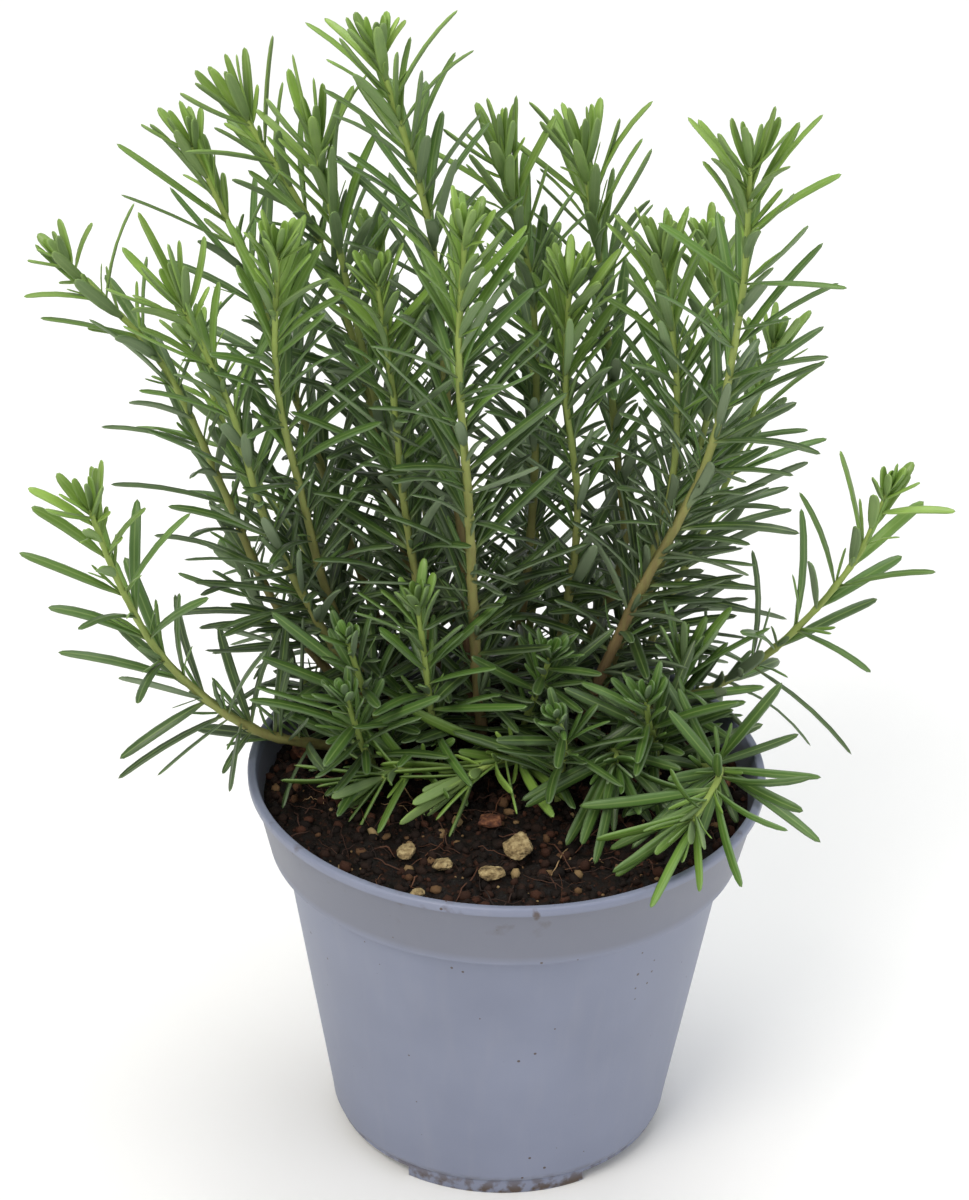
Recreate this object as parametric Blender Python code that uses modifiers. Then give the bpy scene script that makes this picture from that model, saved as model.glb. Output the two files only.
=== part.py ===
"""Potted rosemary: a thin moulded pot, its potting soil with loose chips on top, and the shoots.

Every length below is in millimetres until a mesh is finished, and +Z is up. The origin is the
centre of the pot's standing pad, on the surface that the pot stands on. Each shoot is one closed
body, a square stem with its leaves in crossed pairs, and its foot stands in a socket in the soil.
"""

import math
import random

import bmesh
import bpy
import numpy as np
from mathutils import Matrix, Vector

MM = 0.001
GAP = 0.3

# Pot: a lip, a wide collar, a tapered wall, a foot ring in three arcs and a standing pad.
RIM_RADIUS = 65.0
RIM_HEIGHT = 102.0
LIP_HEIGHT = 2.4
COLLAR_TOP_RADIUS = 63.6
COLLAR_FOOT_RADIUS = 59.7
COLLAR_FOOT_HEIGHT = 82.2
BODY_TOP_RADIUS = 56.0
BODY_FOOT_RADIUS = 43.0
FOOT_RADIUS = 42.1
FOOT_HEIGHT = 3.2
WALL = 1.0
PAD_RADIUS = 17.0
DRAIN_CIRCLE = 30.0
DRAIN_RADIUS = 4.0
FOOT_ARC = math.radians(64.0)
TURN_STEPS = 40

# Soil: fills the pot to just below the rim and is a little higher in the middle.
SOIL_EDGE_HEIGHT = 94.0
SOIL_CENTRE_HEIGHT = 96.0
STEM_DEPTH = 10.0

# Leaves: needle-like, with their widest place a little before the middle. Near a shoot's tip they
# are shorter, closer together and more upright. Lengths and leans change over the zones given.
LEAF_HALF_WIDTH = 1.3
LEAF_HALF_THICKNESS = 0.5
LEAF_WIDEST = 0.45
TIP_LEAF_LENGTH = 15.0
FULL_LEAF_LENGTH = 29.0
LENGTH_ZONE = 40.0
TIP_LEAN = 20.0
GROWN_LEAN = 20.0
OLD_LEAN = 26.0
LEAF_DROOP = 0.14
NODE_SPACING = 9.0
TIP_SPACING = 4.2
SPACING_ZONE = 45.0
SPRIG_LENGTH = 80.0
SPRIG_LEAF_SHARE = 0.8

# Stems taper to their tip, where they end in a bud.
TIP_HALF_WIDTH = 0.75
BUD_LENGTH = 1.6

# Leaves keep this space from one another. Each counts as two tapered rods of these radii.
LEAF_SPACE = 0.45
LEAF_BASE_RADIUS = 1.1
LEAF_MIDDLE_RADIUS = 1.45
LEAF_TIP_RADIUS = 0.05
POT_SPACE = 1.6

# Where a leaf doesn't fit it is tried again: turned and tilted by these degrees, and shortened.
LEAF_TRIES = [
    (0, 0, 1.0), (22, 0, 1.0), (-22, 0, 1.0), (0, 18, 1.0), (0, -18, 1.0), (0, 0, 0.75),
    (40, 10, 0.9), (-40, 10, 0.9), (30, -15, 0.8), (-30, -15, 0.8), (0, 0, 0.55), (0, 30, 0.6),
]

# Loose chips on the soil: place, longest and shortest half sizes, and turn about Z in degrees.
PUMICE_CHIPS = [
    ((4, -31), 5.4, 3.8, 60),
    ((-3, -42), 3.6, 2.6, 10),
    ((-24, -33), 4.0, 2.2, 110),
    ((-15, -38), 3.0, 2.2, 35),
    ((-21, -50), 2.6, 1.8, 140),
]
BARK_CHIPS = [
    ((-4, -19), 3.6, 2.4, 20),
    ((54, 4), 3.4, 2.6, 75),
    ((-52, 14), 4.2, 2.4, 50),
    ((32, 1), 3.4, 2.2, 160),
]

# Shoots. "route" runs from the soil to the stem's end, "bare" is the leafless length at the foot,
# "girth" is the stem's half width there, and "reach" lists where the outermost leaves end.
SHOOTS = {
    "shoot_front_centre": {
        "route": [(-6, 13, 97), (-9, 10, 135), (-11, 5, 174), (-14, 0, 214), (-13, -6, 250)],
        "bare": 9, "girth": 1.9,
    },
    "shoot_tall_centre": {
        "route": [(-9, 23, 97), (-12, 23, 145), (-17, 22, 193), (-22, 21, 240), (-35, 20, 285)],
        "bare": 20, "girth": 1.7,
        "reach": [(-42, 21, 292), (-28, 20, 292), (-16, 17, 296), (-12, 15, 287)],
    },
    "shoot_left_front": {
        "route": [(-24, 28, 97), (-44, 24, 130), (-52, 18, 166), (-58, 11, 202), (-57, 2, 240)],
        "bare": 10, "girth": 1.6,
    },
    "shoot_left_outer": {
        "route": [(-35, 30, 97), (-59, 30, 128), (-73, 26, 166), (-87, 21, 202), (-109, 17, 230)],
        "bare": 20, "girth": 1.5,
        "reach": [(-116, 17, 234), (-115, 14, 216), (-102, 17, 240), (-92, 18, 245), (-103, 12, 217)],
    },
    "shoot_low_left": {
        "route": [(-38, 14, 97), (-63, 2, 109), (-83, -10, 134), (-93, -21, 161), (-99, -31, 188)],
        "bare": 14, "girth": 1.5,
        "reach": [
            (-113, -34, 195), (-96, -30, 201), (-96, -16, 105),
            (-94, -26, 140), (-77, -14, 179), (-80, -14, 157), (-71, -6, 101),
        ],
    },
    "shoot_low_right": {
        "route": [(28, 30, 97), (57, 36, 108), (73, 30, 127), (86, 25, 150), (92, 21, 171)],
        "bare": 12, "girth": 1.4,
        "reach": [
            (109, 18, 168), (105, 14, 153), (80, 24, 181), (94, 20, 180), (88, 18, 97), (71, 28, 167),
        ],
    },
    "shoot_right_tall": {
        "route": [(16, 20, 97), (31, 20, 139), (47, 18, 180), (53, 14, 224), (53, 8, 263)],
        "bare": 14, "girth": 1.8,
        "reach": [
            (38, 12, 273), (58, 8, 278), (69, 6, 277), (74, 4, 263),
            (77, 2, 235), (74, 4, 216), (74, 8, 188),
        ],
    },
    "shoot_right_inner": {
        "route": [(22, 35, 97), (31, 31, 132), (39, 29, 165), (39, 27, 199), (34, 26, 231)],
        "bare": 12, "girth": 1.5,
        "reach": [(27, 26, 244), (42, 27, 238), (62, 27, 133)],
    },
    "shoot_back_right": {
        "route": [(12, 42, 97), (28, 43, 136), (25, 44, 173), (21, 46, 210), (15, 48, 246)],
        "bare": 14, "girth": 1.6,
        "reach": [(1, 46, 262), (15, 49, 260), (31, 46, 263), (29, 49, 252)],
    },
    "shoot_centre_right": {
        "route": [(8, 31, 97), (14, 30, 130), (16, 28, 162), (12, 27, 193), (12, 24, 223)],
        "bare": 12, "girth": 1.5,
    },
    "shoot_behind_centre": {
        "route": [(0, 38, 97), (4, 37, 139), (5, 38, 178), (3, 38, 216), (-5, 38, 250)],
        "bare": 16, "girth": 1.5,
        "reach": [(-9, 38, 266), (-2, 40, 266)],
    },
    "shoot_top_left": {
        "route": [(-17, 35, 97), (-23, 32, 140), (-33, 31, 180), (-42, 30, 220), (-49, 28, 256)],
        "bare": 18, "girth": 1.6,
        "reach": [(-55, 30, 279), (-50, 28, 274), (-44, 27, 266)],
    },
    "shoot_left_rear": {
        "route": [(-18, 44, 97), (-28, 39, 143), (-37, 38, 186), (-49, 38, 227), (-67, 37, 260)],
        "bare": 18, "girth": 1.5,
        "reach": [(-75, 37, 272), (-69, 39, 275), (-60, 34, 282)],
    },
    "shoot_left_high": {
        "route": [(-27, 39, 97), (-41, 40, 141), (-54, 41, 179), (-67, 40, 219), (-80, 40, 251)],
        "bare": 18, "girth": 1.5,
        "reach": [(-83, 41, 262), (-90, 38, 257), (-98, 37, 252), (-97, 34, 240)],
    },
    "shoot_left_inner": {
        "route": [(-30, 21, 97), (-47, 17, 130), (-61, 14, 162), (-69, 11, 194), (-80, 8, 223)],
        "bare": 14, "girth": 1.4,
        "reach": [(-90, 6, 248), (-83, 4, 241)],
    },
    "shoot_centre_left": {
        "route": [(-16, 27, 97), (-22, 21, 132), (-27, 17, 166), (-30, 14, 199), (-34, 10, 230)],
        "bare": 12, "girth": 1.4,
    },
    "shoot_right_rear": {
        "route": [(21, 44, 97), (36, 43, 131), (45, 44, 164), (50, 45, 196), (46, 47, 226)],
        "bare": 14, "girth": 1.4,
    },
    "shoot_back_left": {
        "route": [(-9, 48, 97), (-18, 55, 125), (-26, 63, 155), (-32, 69, 184), (-37, 72, 212)],
        "bare": 12, "girth": 1.4,
    },
    "shoot_back_centre": {
        "route": [(3, 49, 97), (6, 59, 122), (5, 69, 149), (3, 77, 177), (5, 81, 204)],
        "bare": 12, "girth": 1.4,
    },
    "shoot_back_outer": {
        "route": [(31, 40, 97), (40, 54, 118), (51, 66, 138), (60, 74, 160), (66, 77, 185)],
        "bare": 12, "girth": 1.3,
    },
    "shoot_back_low_left": {
        "route": [(-34, 38, 97), (-45, 48, 121), (-61, 59, 141), (-75, 66, 161), (-83, 70, 185)],
        "bare": 12, "girth": 1.3,
    },
    "sprig_left_rear": {
        "route": [(-44, 25, 97), (-55, 32, 110), (-63, 38, 121), (-71, 45, 134)],
        "bare": 10, "girth": 1.1,
    },
    "sprig_centre": {
        "route": [(-16, 10, 97), (-19, 5, 112), (-21, 2, 131), (-23, 0, 148)],
        "bare": 8, "girth": 1.1,
    },
    "sprig_front_left": {
        "route": [(-20, 4, 97), (-22, -1, 102), (-27, -6, 104), (-32, -9, 102)],
        "bare": 4, "girth": 1.0,
        "reach": [(-44, -2, 118), (-36, -2, 114), (-56, -13, 104), (-31, -30, 100)],
    },
    "sprig_front": {
        "route": [(4, 8, 97), (3, 1, 104), (-3, -5, 106), (-10, -9, 104)],
        "bare": 4, "girth": 1.1,
        "reach": [
            (-25, 0, 118), (-28, -14, 108), (-26, -27, 101), (-17, -28, 103),
            (12, -22, 101), (20, 4, 104),
        ],
    },
    "sprig_front_right": {
        "route": [(47, 9, 97), (53, -6, 107), (51, -22, 111), (45, -37, 110)],
        "bare": 6, "girth": 1.2,
        "reach": [
            (35, -64, 103), (18, -26, 107), (22, -38, 105), (26, -49, 103), (57, -54, 103),
            (73, -24, 106), (67, -8, 133), (37, -8, 110),
        ],
    },
    "sprig_right": {
        "route": [(36, 22, 97), (39, 20, 105), (42, 18, 114), (44, 17, 124)],
        "bare": 4, "girth": 1.1,
        "reach": [(38, 18, 141), (48, 16, 131), (55, 20, 128)],
    },
    "sprig_middle_right": {
        "route": [(25, 9, 97), (26, 3, 105), (27, -5, 110), (27, -13, 111)],
        "bare": 4, "girth": 1.1,
        "reach": [(22, -38, 98), (15, -30, 98), (36, -20, 99)],
    },
    "sprig_middle": {
        "route": [(13, -4, 97), (14, -7, 108), (14, -10, 117), (12, -13, 124)],
        "bare": 5, "girth": 1.1,
    },
    "sprig_middle_left": {
        "route": [(-32, 2, 97), (-36, -3, 108), (-38, -7, 118), (-40, -10, 127)],
        "bare": 5, "girth": 1.1,
        "reach": [(-28, -24, 98), (-45, -12, 99)],
    },
    "sprig_centre_low": {
        "route": [(3, 19, 97), (5, 13, 110), (8, 7, 122), (10, 2, 133)],
        "bare": 6, "girth": 1.1,
    },
    "sprig_left_middle": {
        "route": [(-28, 11, 97), (-33, 5, 112), (-37, 0, 126), (-40, -4, 140)],
        "bare": 6, "girth": 1.1,
    },
    "sprig_right_middle": {
        "route": [(38, 10, 97), (37, 4, 108), (35, -2, 117), (34, -6, 126)],
        "bare": 5, "girth": 1.1,
    },
}


def clear_scene():
    for thing in list(bpy.data.objects):
        bpy.data.objects.remove(thing, do_unlink=True)


def principled(name, colour, roughness):
    material = bpy.data.materials.new(name)
    material.use_nodes = True
    shader = material.node_tree.nodes["Principled BSDF"]
    shader.inputs["Base Color"].default_value = (*colour, 1.0)
    shader.inputs["Roughness"].default_value = roughness
    shader.inputs["Metallic"].default_value = 0.0
    return material


def object_of(bm, name, collection, material, smooth=False):
    """Scales a mesh in millimetres to metres and makes it an object, shaded smooth if asked."""
    bmesh.ops.scale(bm, vec=(MM, MM, MM), verts=bm.verts)
    mesh = bpy.data.meshes.new(name)
    bm.to_mesh(mesh)
    bm.free()
    if smooth:
        mesh.shade_smooth()
        mesh.set_sharp_from_angle(angle=math.radians(35))
    if material:
        mesh.materials.append(material)
    made = bpy.data.objects.new(name, mesh)
    collection.objects.link(made)
    return made


def turned(name, profile, collection, material):
    """A profile of (radius, height) pairs that starts and ends on the axis, turned about Z."""
    bm = bmesh.new()
    points = [bm.verts.new((radius, 0.0, height)) for radius, height in profile]
    for start, end in zip(points, points[1:]):
        bm.edges.new((start, end))
    made = object_of(bm, name, collection, material)
    screw = made.modifiers.new("turn", "SCREW")
    screw.axis = "Z"
    screw.steps = TURN_STEPS
    screw.render_steps = TURN_STEPS
    screw.use_merge_vertices = True
    screw.merge_threshold = 0.00001
    screw.use_smooth_shade = True
    return made


def cut(target, cutter):
    boolean = target.modifiers.new("cut_" + cutter.name, "BOOLEAN")
    boolean.operation = "DIFFERENCE"
    boolean.solver = "EXACT"
    boolean.object = cutter


def as_cutter(cutter):
    cutter.hide_render = True
    cutter.display_type = "WIRE"
    return cutter


def inner_radius(height):
    """The pot's inside radius at a height above the step under the collar."""
    rise = (height - COLLAR_FOOT_HEIGHT) / (RIM_HEIGHT - LIP_HEIGHT - COLLAR_FOOT_HEIGHT)
    return COLLAR_FOOT_RADIUS - WALL + rise * (COLLAR_TOP_RADIUS - COLLAR_FOOT_RADIUS)


def corner_arc(centre, radius, first, last, count=4):
    """Points of a rounded corner, from one angle to the other in degrees."""
    angles = [math.radians(first + (last - first) * step / count) for step in range(count + 1)]
    return [(centre[0] + radius * math.cos(a), centre[1] + radius * math.sin(a)) for a in angles]


def build_pot(parts, cutters, material):
    step_inside = COLLAR_FOOT_HEIGHT + WALL
    foot_inside = FOOT_RADIUS - 1.3
    outer_corner = corner_arc((FOOT_RADIUS - 1.9, FOOT_HEIGHT + 2.6), 3.0, 0, -52)
    profile = [
        (0.0, WALL),
        (PAD_RADIUS - 0.4, WALL),
        (PAD_RADIUS + 2.6, FOOT_HEIGHT + WALL),
        (BODY_FOOT_RADIUS - 4.2, FOOT_HEIGHT + WALL),
        (BODY_FOOT_RADIUS - 2.0, FOOT_HEIGHT + WALL + 1.2),
        (BODY_FOOT_RADIUS - 1.0, FOOT_HEIGHT + WALL + 3.4),
        (BODY_TOP_RADIUS - WALL, step_inside - 1.0),
        (COLLAR_FOOT_RADIUS - WALL, step_inside),
        (inner_radius(RIM_HEIGHT - LIP_HEIGHT), RIM_HEIGHT - LIP_HEIGHT),
        (RIM_RADIUS - 2.1, RIM_HEIGHT - 0.6),
        (RIM_RADIUS - 1.6, RIM_HEIGHT),
        (RIM_RADIUS - 0.5, RIM_HEIGHT),
        (RIM_RADIUS, RIM_HEIGHT - 0.5),
        (RIM_RADIUS - 0.1, RIM_HEIGHT - LIP_HEIGHT + 0.3),
        (COLLAR_TOP_RADIUS, RIM_HEIGHT - LIP_HEIGHT),
        (COLLAR_FOOT_RADIUS, COLLAR_FOOT_HEIGHT + 0.4),
        (COLLAR_FOOT_RADIUS - 0.5, COLLAR_FOOT_HEIGHT),
        (BODY_TOP_RADIUS, COLLAR_FOOT_HEIGHT - 0.6),
        (BODY_FOOT_RADIUS + 0.2, FOOT_HEIGHT + 3.4),
        *outer_corner,
        (FOOT_RADIUS - 0.2, 0.0),
        (foot_inside, 0.0),
        (foot_inside, FOOT_HEIGHT),
        (PAD_RADIUS + 3.0, FOOT_HEIGHT),
        (PAD_RADIUS, 0.0),
        (0.0, 0.0),
    ]
    pot = turned("pot", profile, parts, material)

    bm = bmesh.new()
    gap_arc = 2 * math.pi / 3 - FOOT_ARC
    for index in range(3):
        # One arc of the foot ring faces the front, so the gaps start a sixth of a turn from it.
        middle = -math.pi / 2 + math.pi / 3 + index * 2 * math.pi / 3
        made = bmesh.ops.create_cube(bm, size=1.0)["verts"]
        bmesh.ops.scale(bm, vec=(20.0, 1.0, 6.0), verts=made)
        bmesh.ops.translate(bm, vec=(foot_inside + 2.2, 0.0, FOOT_HEIGHT - 3.1), verts=made)
        for corner in made:
            corner.co.y = math.copysign(corner.co.x * math.tan(gap_arc / 2), corner.co.y)
        bmesh.ops.rotate(bm, cent=(0, 0, 0), matrix=Matrix.Rotation(middle, 3, "Z"), verts=made)
    cut(pot, as_cutter(object_of(bm, "foot_gaps", cutters, None)))

    bm = bmesh.new()
    for index in range(6):
        angle = (index + 0.5) * math.pi / 3
        place = Vector((DRAIN_CIRCLE * math.cos(angle), DRAIN_CIRCLE * math.sin(angle), FOOT_HEIGHT))
        bmesh.ops.create_cone(
            bm, cap_ends=True, segments=16, radius1=DRAIN_RADIUS, radius2=DRAIN_RADIUS,
            depth=8.0, matrix=Matrix.Translation(place),
        )
    cut(pot, as_cutter(object_of(bm, "drain_holes", cutters, None)))
    return pot


def soil_height(radius):
    edge = inner_radius(SOIL_EDGE_HEIGHT)
    return SOIL_EDGE_HEIGHT + (SOIL_CENTRE_HEIGHT - SOIL_EDGE_HEIGHT) * (1 - (radius / edge) ** 2)


def build_soil(parts, material):
    edge = inner_radius(SOIL_EDGE_HEIGHT) - GAP
    crown = [(edge * share, soil_height(edge * share)) for share in (0.35, 0.65, 0.88)]
    profile = [
        (0.0, SOIL_CENTRE_HEIGHT),
        *crown,
        (edge, SOIL_EDGE_HEIGHT),
        (COLLAR_FOOT_RADIUS - WALL - GAP, COLLAR_FOOT_HEIGHT + WALL + GAP),
        (BODY_TOP_RADIUS - WALL - GAP, COLLAR_FOOT_HEIGHT + GAP - 0.4),
        (BODY_FOOT_RADIUS - 1.4, FOOT_HEIGHT + WALL + 3.6),
        (BODY_FOOT_RADIUS - 4.4, FOOT_HEIGHT + WALL + 0.4),
        (PAD_RADIUS + 2.4, FOOT_HEIGHT + WALL + 0.4),
        (PAD_RADIUS - 0.8, WALL + 0.4),
        (0.0, WALL + 0.4),
    ]
    return turned("potting_soil", profile, parts, material)


def build_chip(name, plan, dice, parts, material):
    """A weathered stone or bark chip, flat below, that rests on the soil."""
    (x, y), long_half, short_half, turn = plan
    bm = bmesh.new()
    bmesh.ops.create_icosphere(bm, subdivisions=2, radius=1.0)
    low = -0.55
    for corner in bm.verts:
        corner.co *= dice.uniform(0.86, 1.06)
        corner.co.z = max(corner.co.z, low)
    bmesh.ops.scale(bm, vec=(long_half, short_half, short_half * 0.8), verts=bm.verts)
    about_z = Matrix.Rotation(math.radians(turn), 3, "Z")
    bmesh.ops.rotate(bm, cent=(0, 0, 0), matrix=about_z, verts=bm.verts)
    nearest = max(0.0, math.hypot(x, y) - long_half)
    foot = soil_height(nearest) + GAP
    rise = foot - low * short_half * 0.8
    bmesh.ops.translate(bm, vec=(x, y, rise), verts=bm.verts)
    return object_of(bm, name, parts, material, smooth=True)


class Route:
    """A smooth curve through a shoot's points, read by its length from the soil."""

    def __init__(self, points):
        knots = [Vector(p) for p in points]
        first = knots[0] - (knots[1] - knots[0])
        last = knots[-1] + (knots[-1] - knots[-2])
        chain = [first, *knots, last]
        self.points = [knots[0]]
        for a, b, c, d in zip(chain, chain[1:], chain[2:], chain[3:]):
            for step in range(1, 13):
                t = step / 12
                bend = 2 * b + (c - a) * t + (2 * a - 5 * b + 4 * c - d) * t * t
                self.points.append((bend + (3 * b - a - 3 * c + d) * t ** 3) / 2)
        self.lengths = [0.0]
        for a, b in zip(self.points, self.points[1:]):
            self.lengths.append(self.lengths[-1] + (b - a).length)
        self.length = self.lengths[-1]

    def at(self, along):
        """Place and direction at a length; a negative length lies straight under the foot."""
        if along <= 0:
            down = Vector((0, 0, 1))
            return self.points[0] + down * along, down
        index = min(np.searchsorted(self.lengths, along), len(self.lengths) - 1)
        a, b = self.points[index - 1], self.points[index]
        share = (along - self.lengths[index - 1]) / (self.lengths[index] - self.lengths[index - 1])
        return a.lerp(b, share), (b - a).normalized()


class Room:
    """The space that is already taken, as tapered rods, so that no leaf is put through another."""

    def __init__(self):
        self.rods = []
        self.array = None

    def add(self, start, end, start_radius, end_radius, owner, kind):
        self.rods.append((*start, *end, start_radius, end_radius, owner, kind))
        self.array = None

    def clearance(self, start, end, start_radius, end_radius, skip):
        """Least space between this rod and all the others that skip(owner, kind) doesn't leave out."""
        if self.array is None:
            self.array = np.array(self.rods)
        rods = self.array[~skip(self.array[:, 8], self.array[:, 9])]
        if not len(rods):
            return 99.0
        a, b = np.array(start), np.array(end)
        c, d = rods[:, 0:3], rods[:, 3:6]
        u, v, w = b - a, d - c, a - c
        uu, uv, vv = u @ u, v @ u, (v * v).sum(1)
        uw, vw = w @ u, (v * w).sum(1)
        spread = np.maximum(uu * vv - uv * uv, 1e-9)
        s = np.clip((uv * vw - vv * uw) / spread, 0, 1)
        t = np.clip((uv * s + vw) / np.maximum(vv, 1e-9), 0, 1)
        s = np.clip((uv * t - uw) / uu, 0, 1)
        apart = np.linalg.norm((a + s[:, None] * u) - (c + t[:, None] * v), axis=1)
        thick = start_radius + (end_radius - start_radius) * s
        other = rods[:, 6] + (rods[:, 7] - rods[:, 6]) * t
        return float((apart - thick - other).min())


STEM, LEAF_BASE, LEAF_END, CHIP = range(4)


class Shoot:
    """One shoot while it grows: its stem mesh first, then leaves on the sides of its nodes."""

    def __init__(self, name, plan, number, room, dice):
        self.name = name
        self.number = number
        self.room = room
        self.dice = dice
        self.route = Route(plan["route"])
        self.bare = plan["bare"]
        self.girth = plan["girth"]
        self.reach = [Vector(p) for p in plan.get("reach", [])]
        self.slots = []
        self.grow_stem()

    def half_width(self, along):
        age = 1 - max(0.0, along) / self.route.length
        return TIP_HALF_WIDTH + (self.girth - TIP_HALF_WIDTH) * age

    def node_places(self):
        """Lengths of the leaf nodes, closer together towards the tip."""
        places = []
        along = self.bare
        while along < self.route.length - 2.5:
            places.append(along)
            left = (self.route.length - along) / SPACING_ZONE
            along += TIP_SPACING + (NODE_SPACING - TIP_SPACING) * min(1.0, left)
        return places

    def grow_stem(self):
        self.bm = bmesh.new()
        foot, direction = self.route.at(-STEM_DEPTH)
        side = Matrix.Rotation(self.dice.uniform(0, math.pi / 2), 3, "Z") @ Vector((1, 0, 0))
        ring = (foot, direction, side, self.half_width(0))
        cap = self.first_piece(ring)
        for along, index in self.levels():
            place, direction = self.route.at(along)
            side = (side - direction * side.dot(direction)).normalized()
            last, ring = ring, (place, direction, side, self.half_width(along))
            if along > 0:
                cap = bmesh.ops.extrude_discrete_faces(self.bm, faces=[cap])["faces"][0]
            self.move_ring(cap, last, ring)
            radii = (last[3] * math.sqrt(2), ring[3] * math.sqrt(2))
            self.room.add(last[0], place, *radii, self.number, STEM)
            if index is not None:
                self.note_slots(cap, along, index, direction, side)
        bud = bmesh.ops.poke(self.bm, faces=[cap])["verts"][0]
        bud.co = place + direction * BUD_LENGTH

    def levels(self):
        """Lengths of the stem's rings; a ring at the upper edge of a node has the node's number."""
        levels = [(0.0, None)]
        for index, along in enumerate(self.node_places()):
            tall = 0.95 if along < self.route.length - 15 else 0.7
            levels += [(along - tall, None), (along + tall, index)]
        return levels + [(self.route.length, None)]

    def ring_points(self, ring):
        place, direction, side, half = ring
        across = direction.cross(side)
        return [place + half * (sx * side + sy * across) for sx in (1, -1) for sy in (1, -1)]

    def first_piece(self, ring):
        """A short square rod at the stem's foot; its upper face is where the stem goes on."""
        corners = bmesh.ops.create_cube(self.bm, size=1.0)["verts"]
        for corner in corners:
            flat = Vector((corner.co.x, corner.co.y, 0.0))
            target = max(self.ring_points(ring), key=lambda point: (point - ring[0]).dot(flat))
            corner.co = target + Vector((0, 0, corner.co.z + 0.5))
        return max(self.bm.faces, key=lambda face: face.calc_center_median().z)

    def move_ring(self, cap, last, ring):
        """Moves a ring of corners along the stem, each to the corner that faces the same way."""
        before = self.ring_points(last)
        after = self.ring_points(ring)
        for corner in cap.verts:
            nearest = min(range(4), key=lambda index: (corner.co - before[index]).xy.length)
            corner.co = after[nearest]

    def note_slots(self, cap, along, index, direction, side):
        """Two opposite sides of the node below this ring take leaves, crossed from node to node."""
        for edge in cap.edges:
            wall = next(face for face in edge.link_faces if face is not cap)
            wall.normal_update()
            faces_side = abs(wall.normal.dot(side)) > 0.7
            if faces_side == (index % 2 == 0):
                slot = {"face": wall, "along": along, "direction": direction, "leaf": None}
                self.slots.append(slot)

    def age_at(self, along):
        return (self.route.length - along) / self.route.length

    def leaf_shape(self, slot, target):
        """Base, widest place and tip of a leaf that ends at the target."""
        base = slot["face"].calc_center_median()
        span = target - base
        lift = slot["direction"] * span.length * 0.05
        return base, base + span * LEAF_WIDEST + lift, target

    def usual_target(self, slot, turn, tilt, scale):
        from_tip = self.route.length - slot["along"]
        grown = min(1.0, from_tip / LENGTH_ZONE)
        age = self.age_at(slot["along"])
        length = (TIP_LEAF_LENGTH + (FULL_LEAF_LENGTH - TIP_LEAF_LENGTH) * grown) * scale
        if self.route.length < SPRIG_LENGTH:
            length *= SPRIG_LEAF_SHARE
        lean = math.radians(TIP_LEAN + GROWN_LEAN * grown + OLD_LEAN * age + tilt)
        normal = slot["face"].normal
        stem = slot["direction"]
        out = (normal - stem * normal.dot(stem)).normalized()
        out = Matrix.Rotation(math.radians(turn), 3, stem) @ out
        way = stem * math.cos(lean) + out * math.sin(lean)
        base = slot["face"].calc_center_median()
        droop = Vector((0, 0, -1)) * length * LEAF_DROOP * age ** 2
        return base + way * length + droop

    def not_beside_base(self, owner, kind):
        """Marks what the inner half of a leaf may touch: its own stem and the leaves' bases."""
        return (owner == self.number) & (kind <= LEAF_BASE)

    def not_beside_end(self, owner, kind):
        """Marks what the outer half of a leaf needn't clear: all of this shoot but leaf ends."""
        return (owner == self.number) & (kind != LEAF_END)

    def fits(self, base, middle, tip):
        near = base.lerp(middle, 0.25)
        inner = (near, middle, LEAF_BASE_RADIUS, LEAF_MIDDLE_RADIUS, self.not_beside_base)
        outer = (middle, tip, LEAF_MIDDLE_RADIUS, LEAF_TIP_RADIUS, self.not_beside_end)
        if self.room.clearance(*inner) < LEAF_SPACE or self.room.clearance(*outer) < LEAF_SPACE:
            return False
        shares = (0.25, 0.5, 0.75, 1.0)
        places = [base.lerp(middle, share) for share in shares]
        places += [middle.lerp(tip, share) for share in shares]
        return all(clear_of_pot(place) for place in places)

    def grow_leaf(self, slot, target):
        base, middle, tip = self.leaf_shape(slot, target)
        if not self.fits(base, middle, tip):
            return False
        inner = (base, middle, LEAF_BASE_RADIUS, LEAF_MIDDLE_RADIUS)
        outer = (middle, tip, LEAF_MIDDLE_RADIUS, LEAF_TIP_RADIUS)
        self.room.add(*inner, self.number, LEAF_BASE)
        self.room.add(*outer, self.number, LEAF_END)
        slot["leaf"] = (base, middle, tip)
        return True

    def reach_out(self):
        """Gives each outermost leaf the free side that is best placed to grow it."""
        for target in self.reach:
            choices = []
            for slot in self.slots:
                if slot["leaf"]:
                    continue
                span = target - slot["face"].calc_center_median()
                lean = math.degrees(span.angle(slot["direction"]))
                away = math.degrees(span.angle(slot["face"].normal))
                wanted = 18.0 if slot["along"] > self.route.length - 12 else 27.0
                fault = abs(span.length - wanted)
                fault += 0.25 * max(0, away - 60) + 0.3 * max(0, lean - 75)
                if span.length < 34 and away < 100:
                    choices.append((fault, len(choices), slot))
            for _, _, slot in sorted(choices)[:6]:
                if self.grow_leaf(slot, target):
                    break

    def fill(self, slot):
        """Tries the usual leaf, then turned, tilted and shorter ones, until one is clear."""
        if slot["leaf"]:
            return
        turn = self.dice.uniform(-14, 14)
        tilt = self.dice.uniform(-8, 8)
        scale = self.dice.uniform(0.86, 1.08)
        for more_turn, more_tilt, share in LEAF_TRIES:
            target = self.usual_target(slot, turn + more_turn, tilt + more_tilt, scale * share)
            if self.grow_leaf(slot, target):
                return

    def mesh_leaves(self):
        for slot in self.slots:
            if slot["leaf"]:
                self.mesh_leaf(slot)

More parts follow.
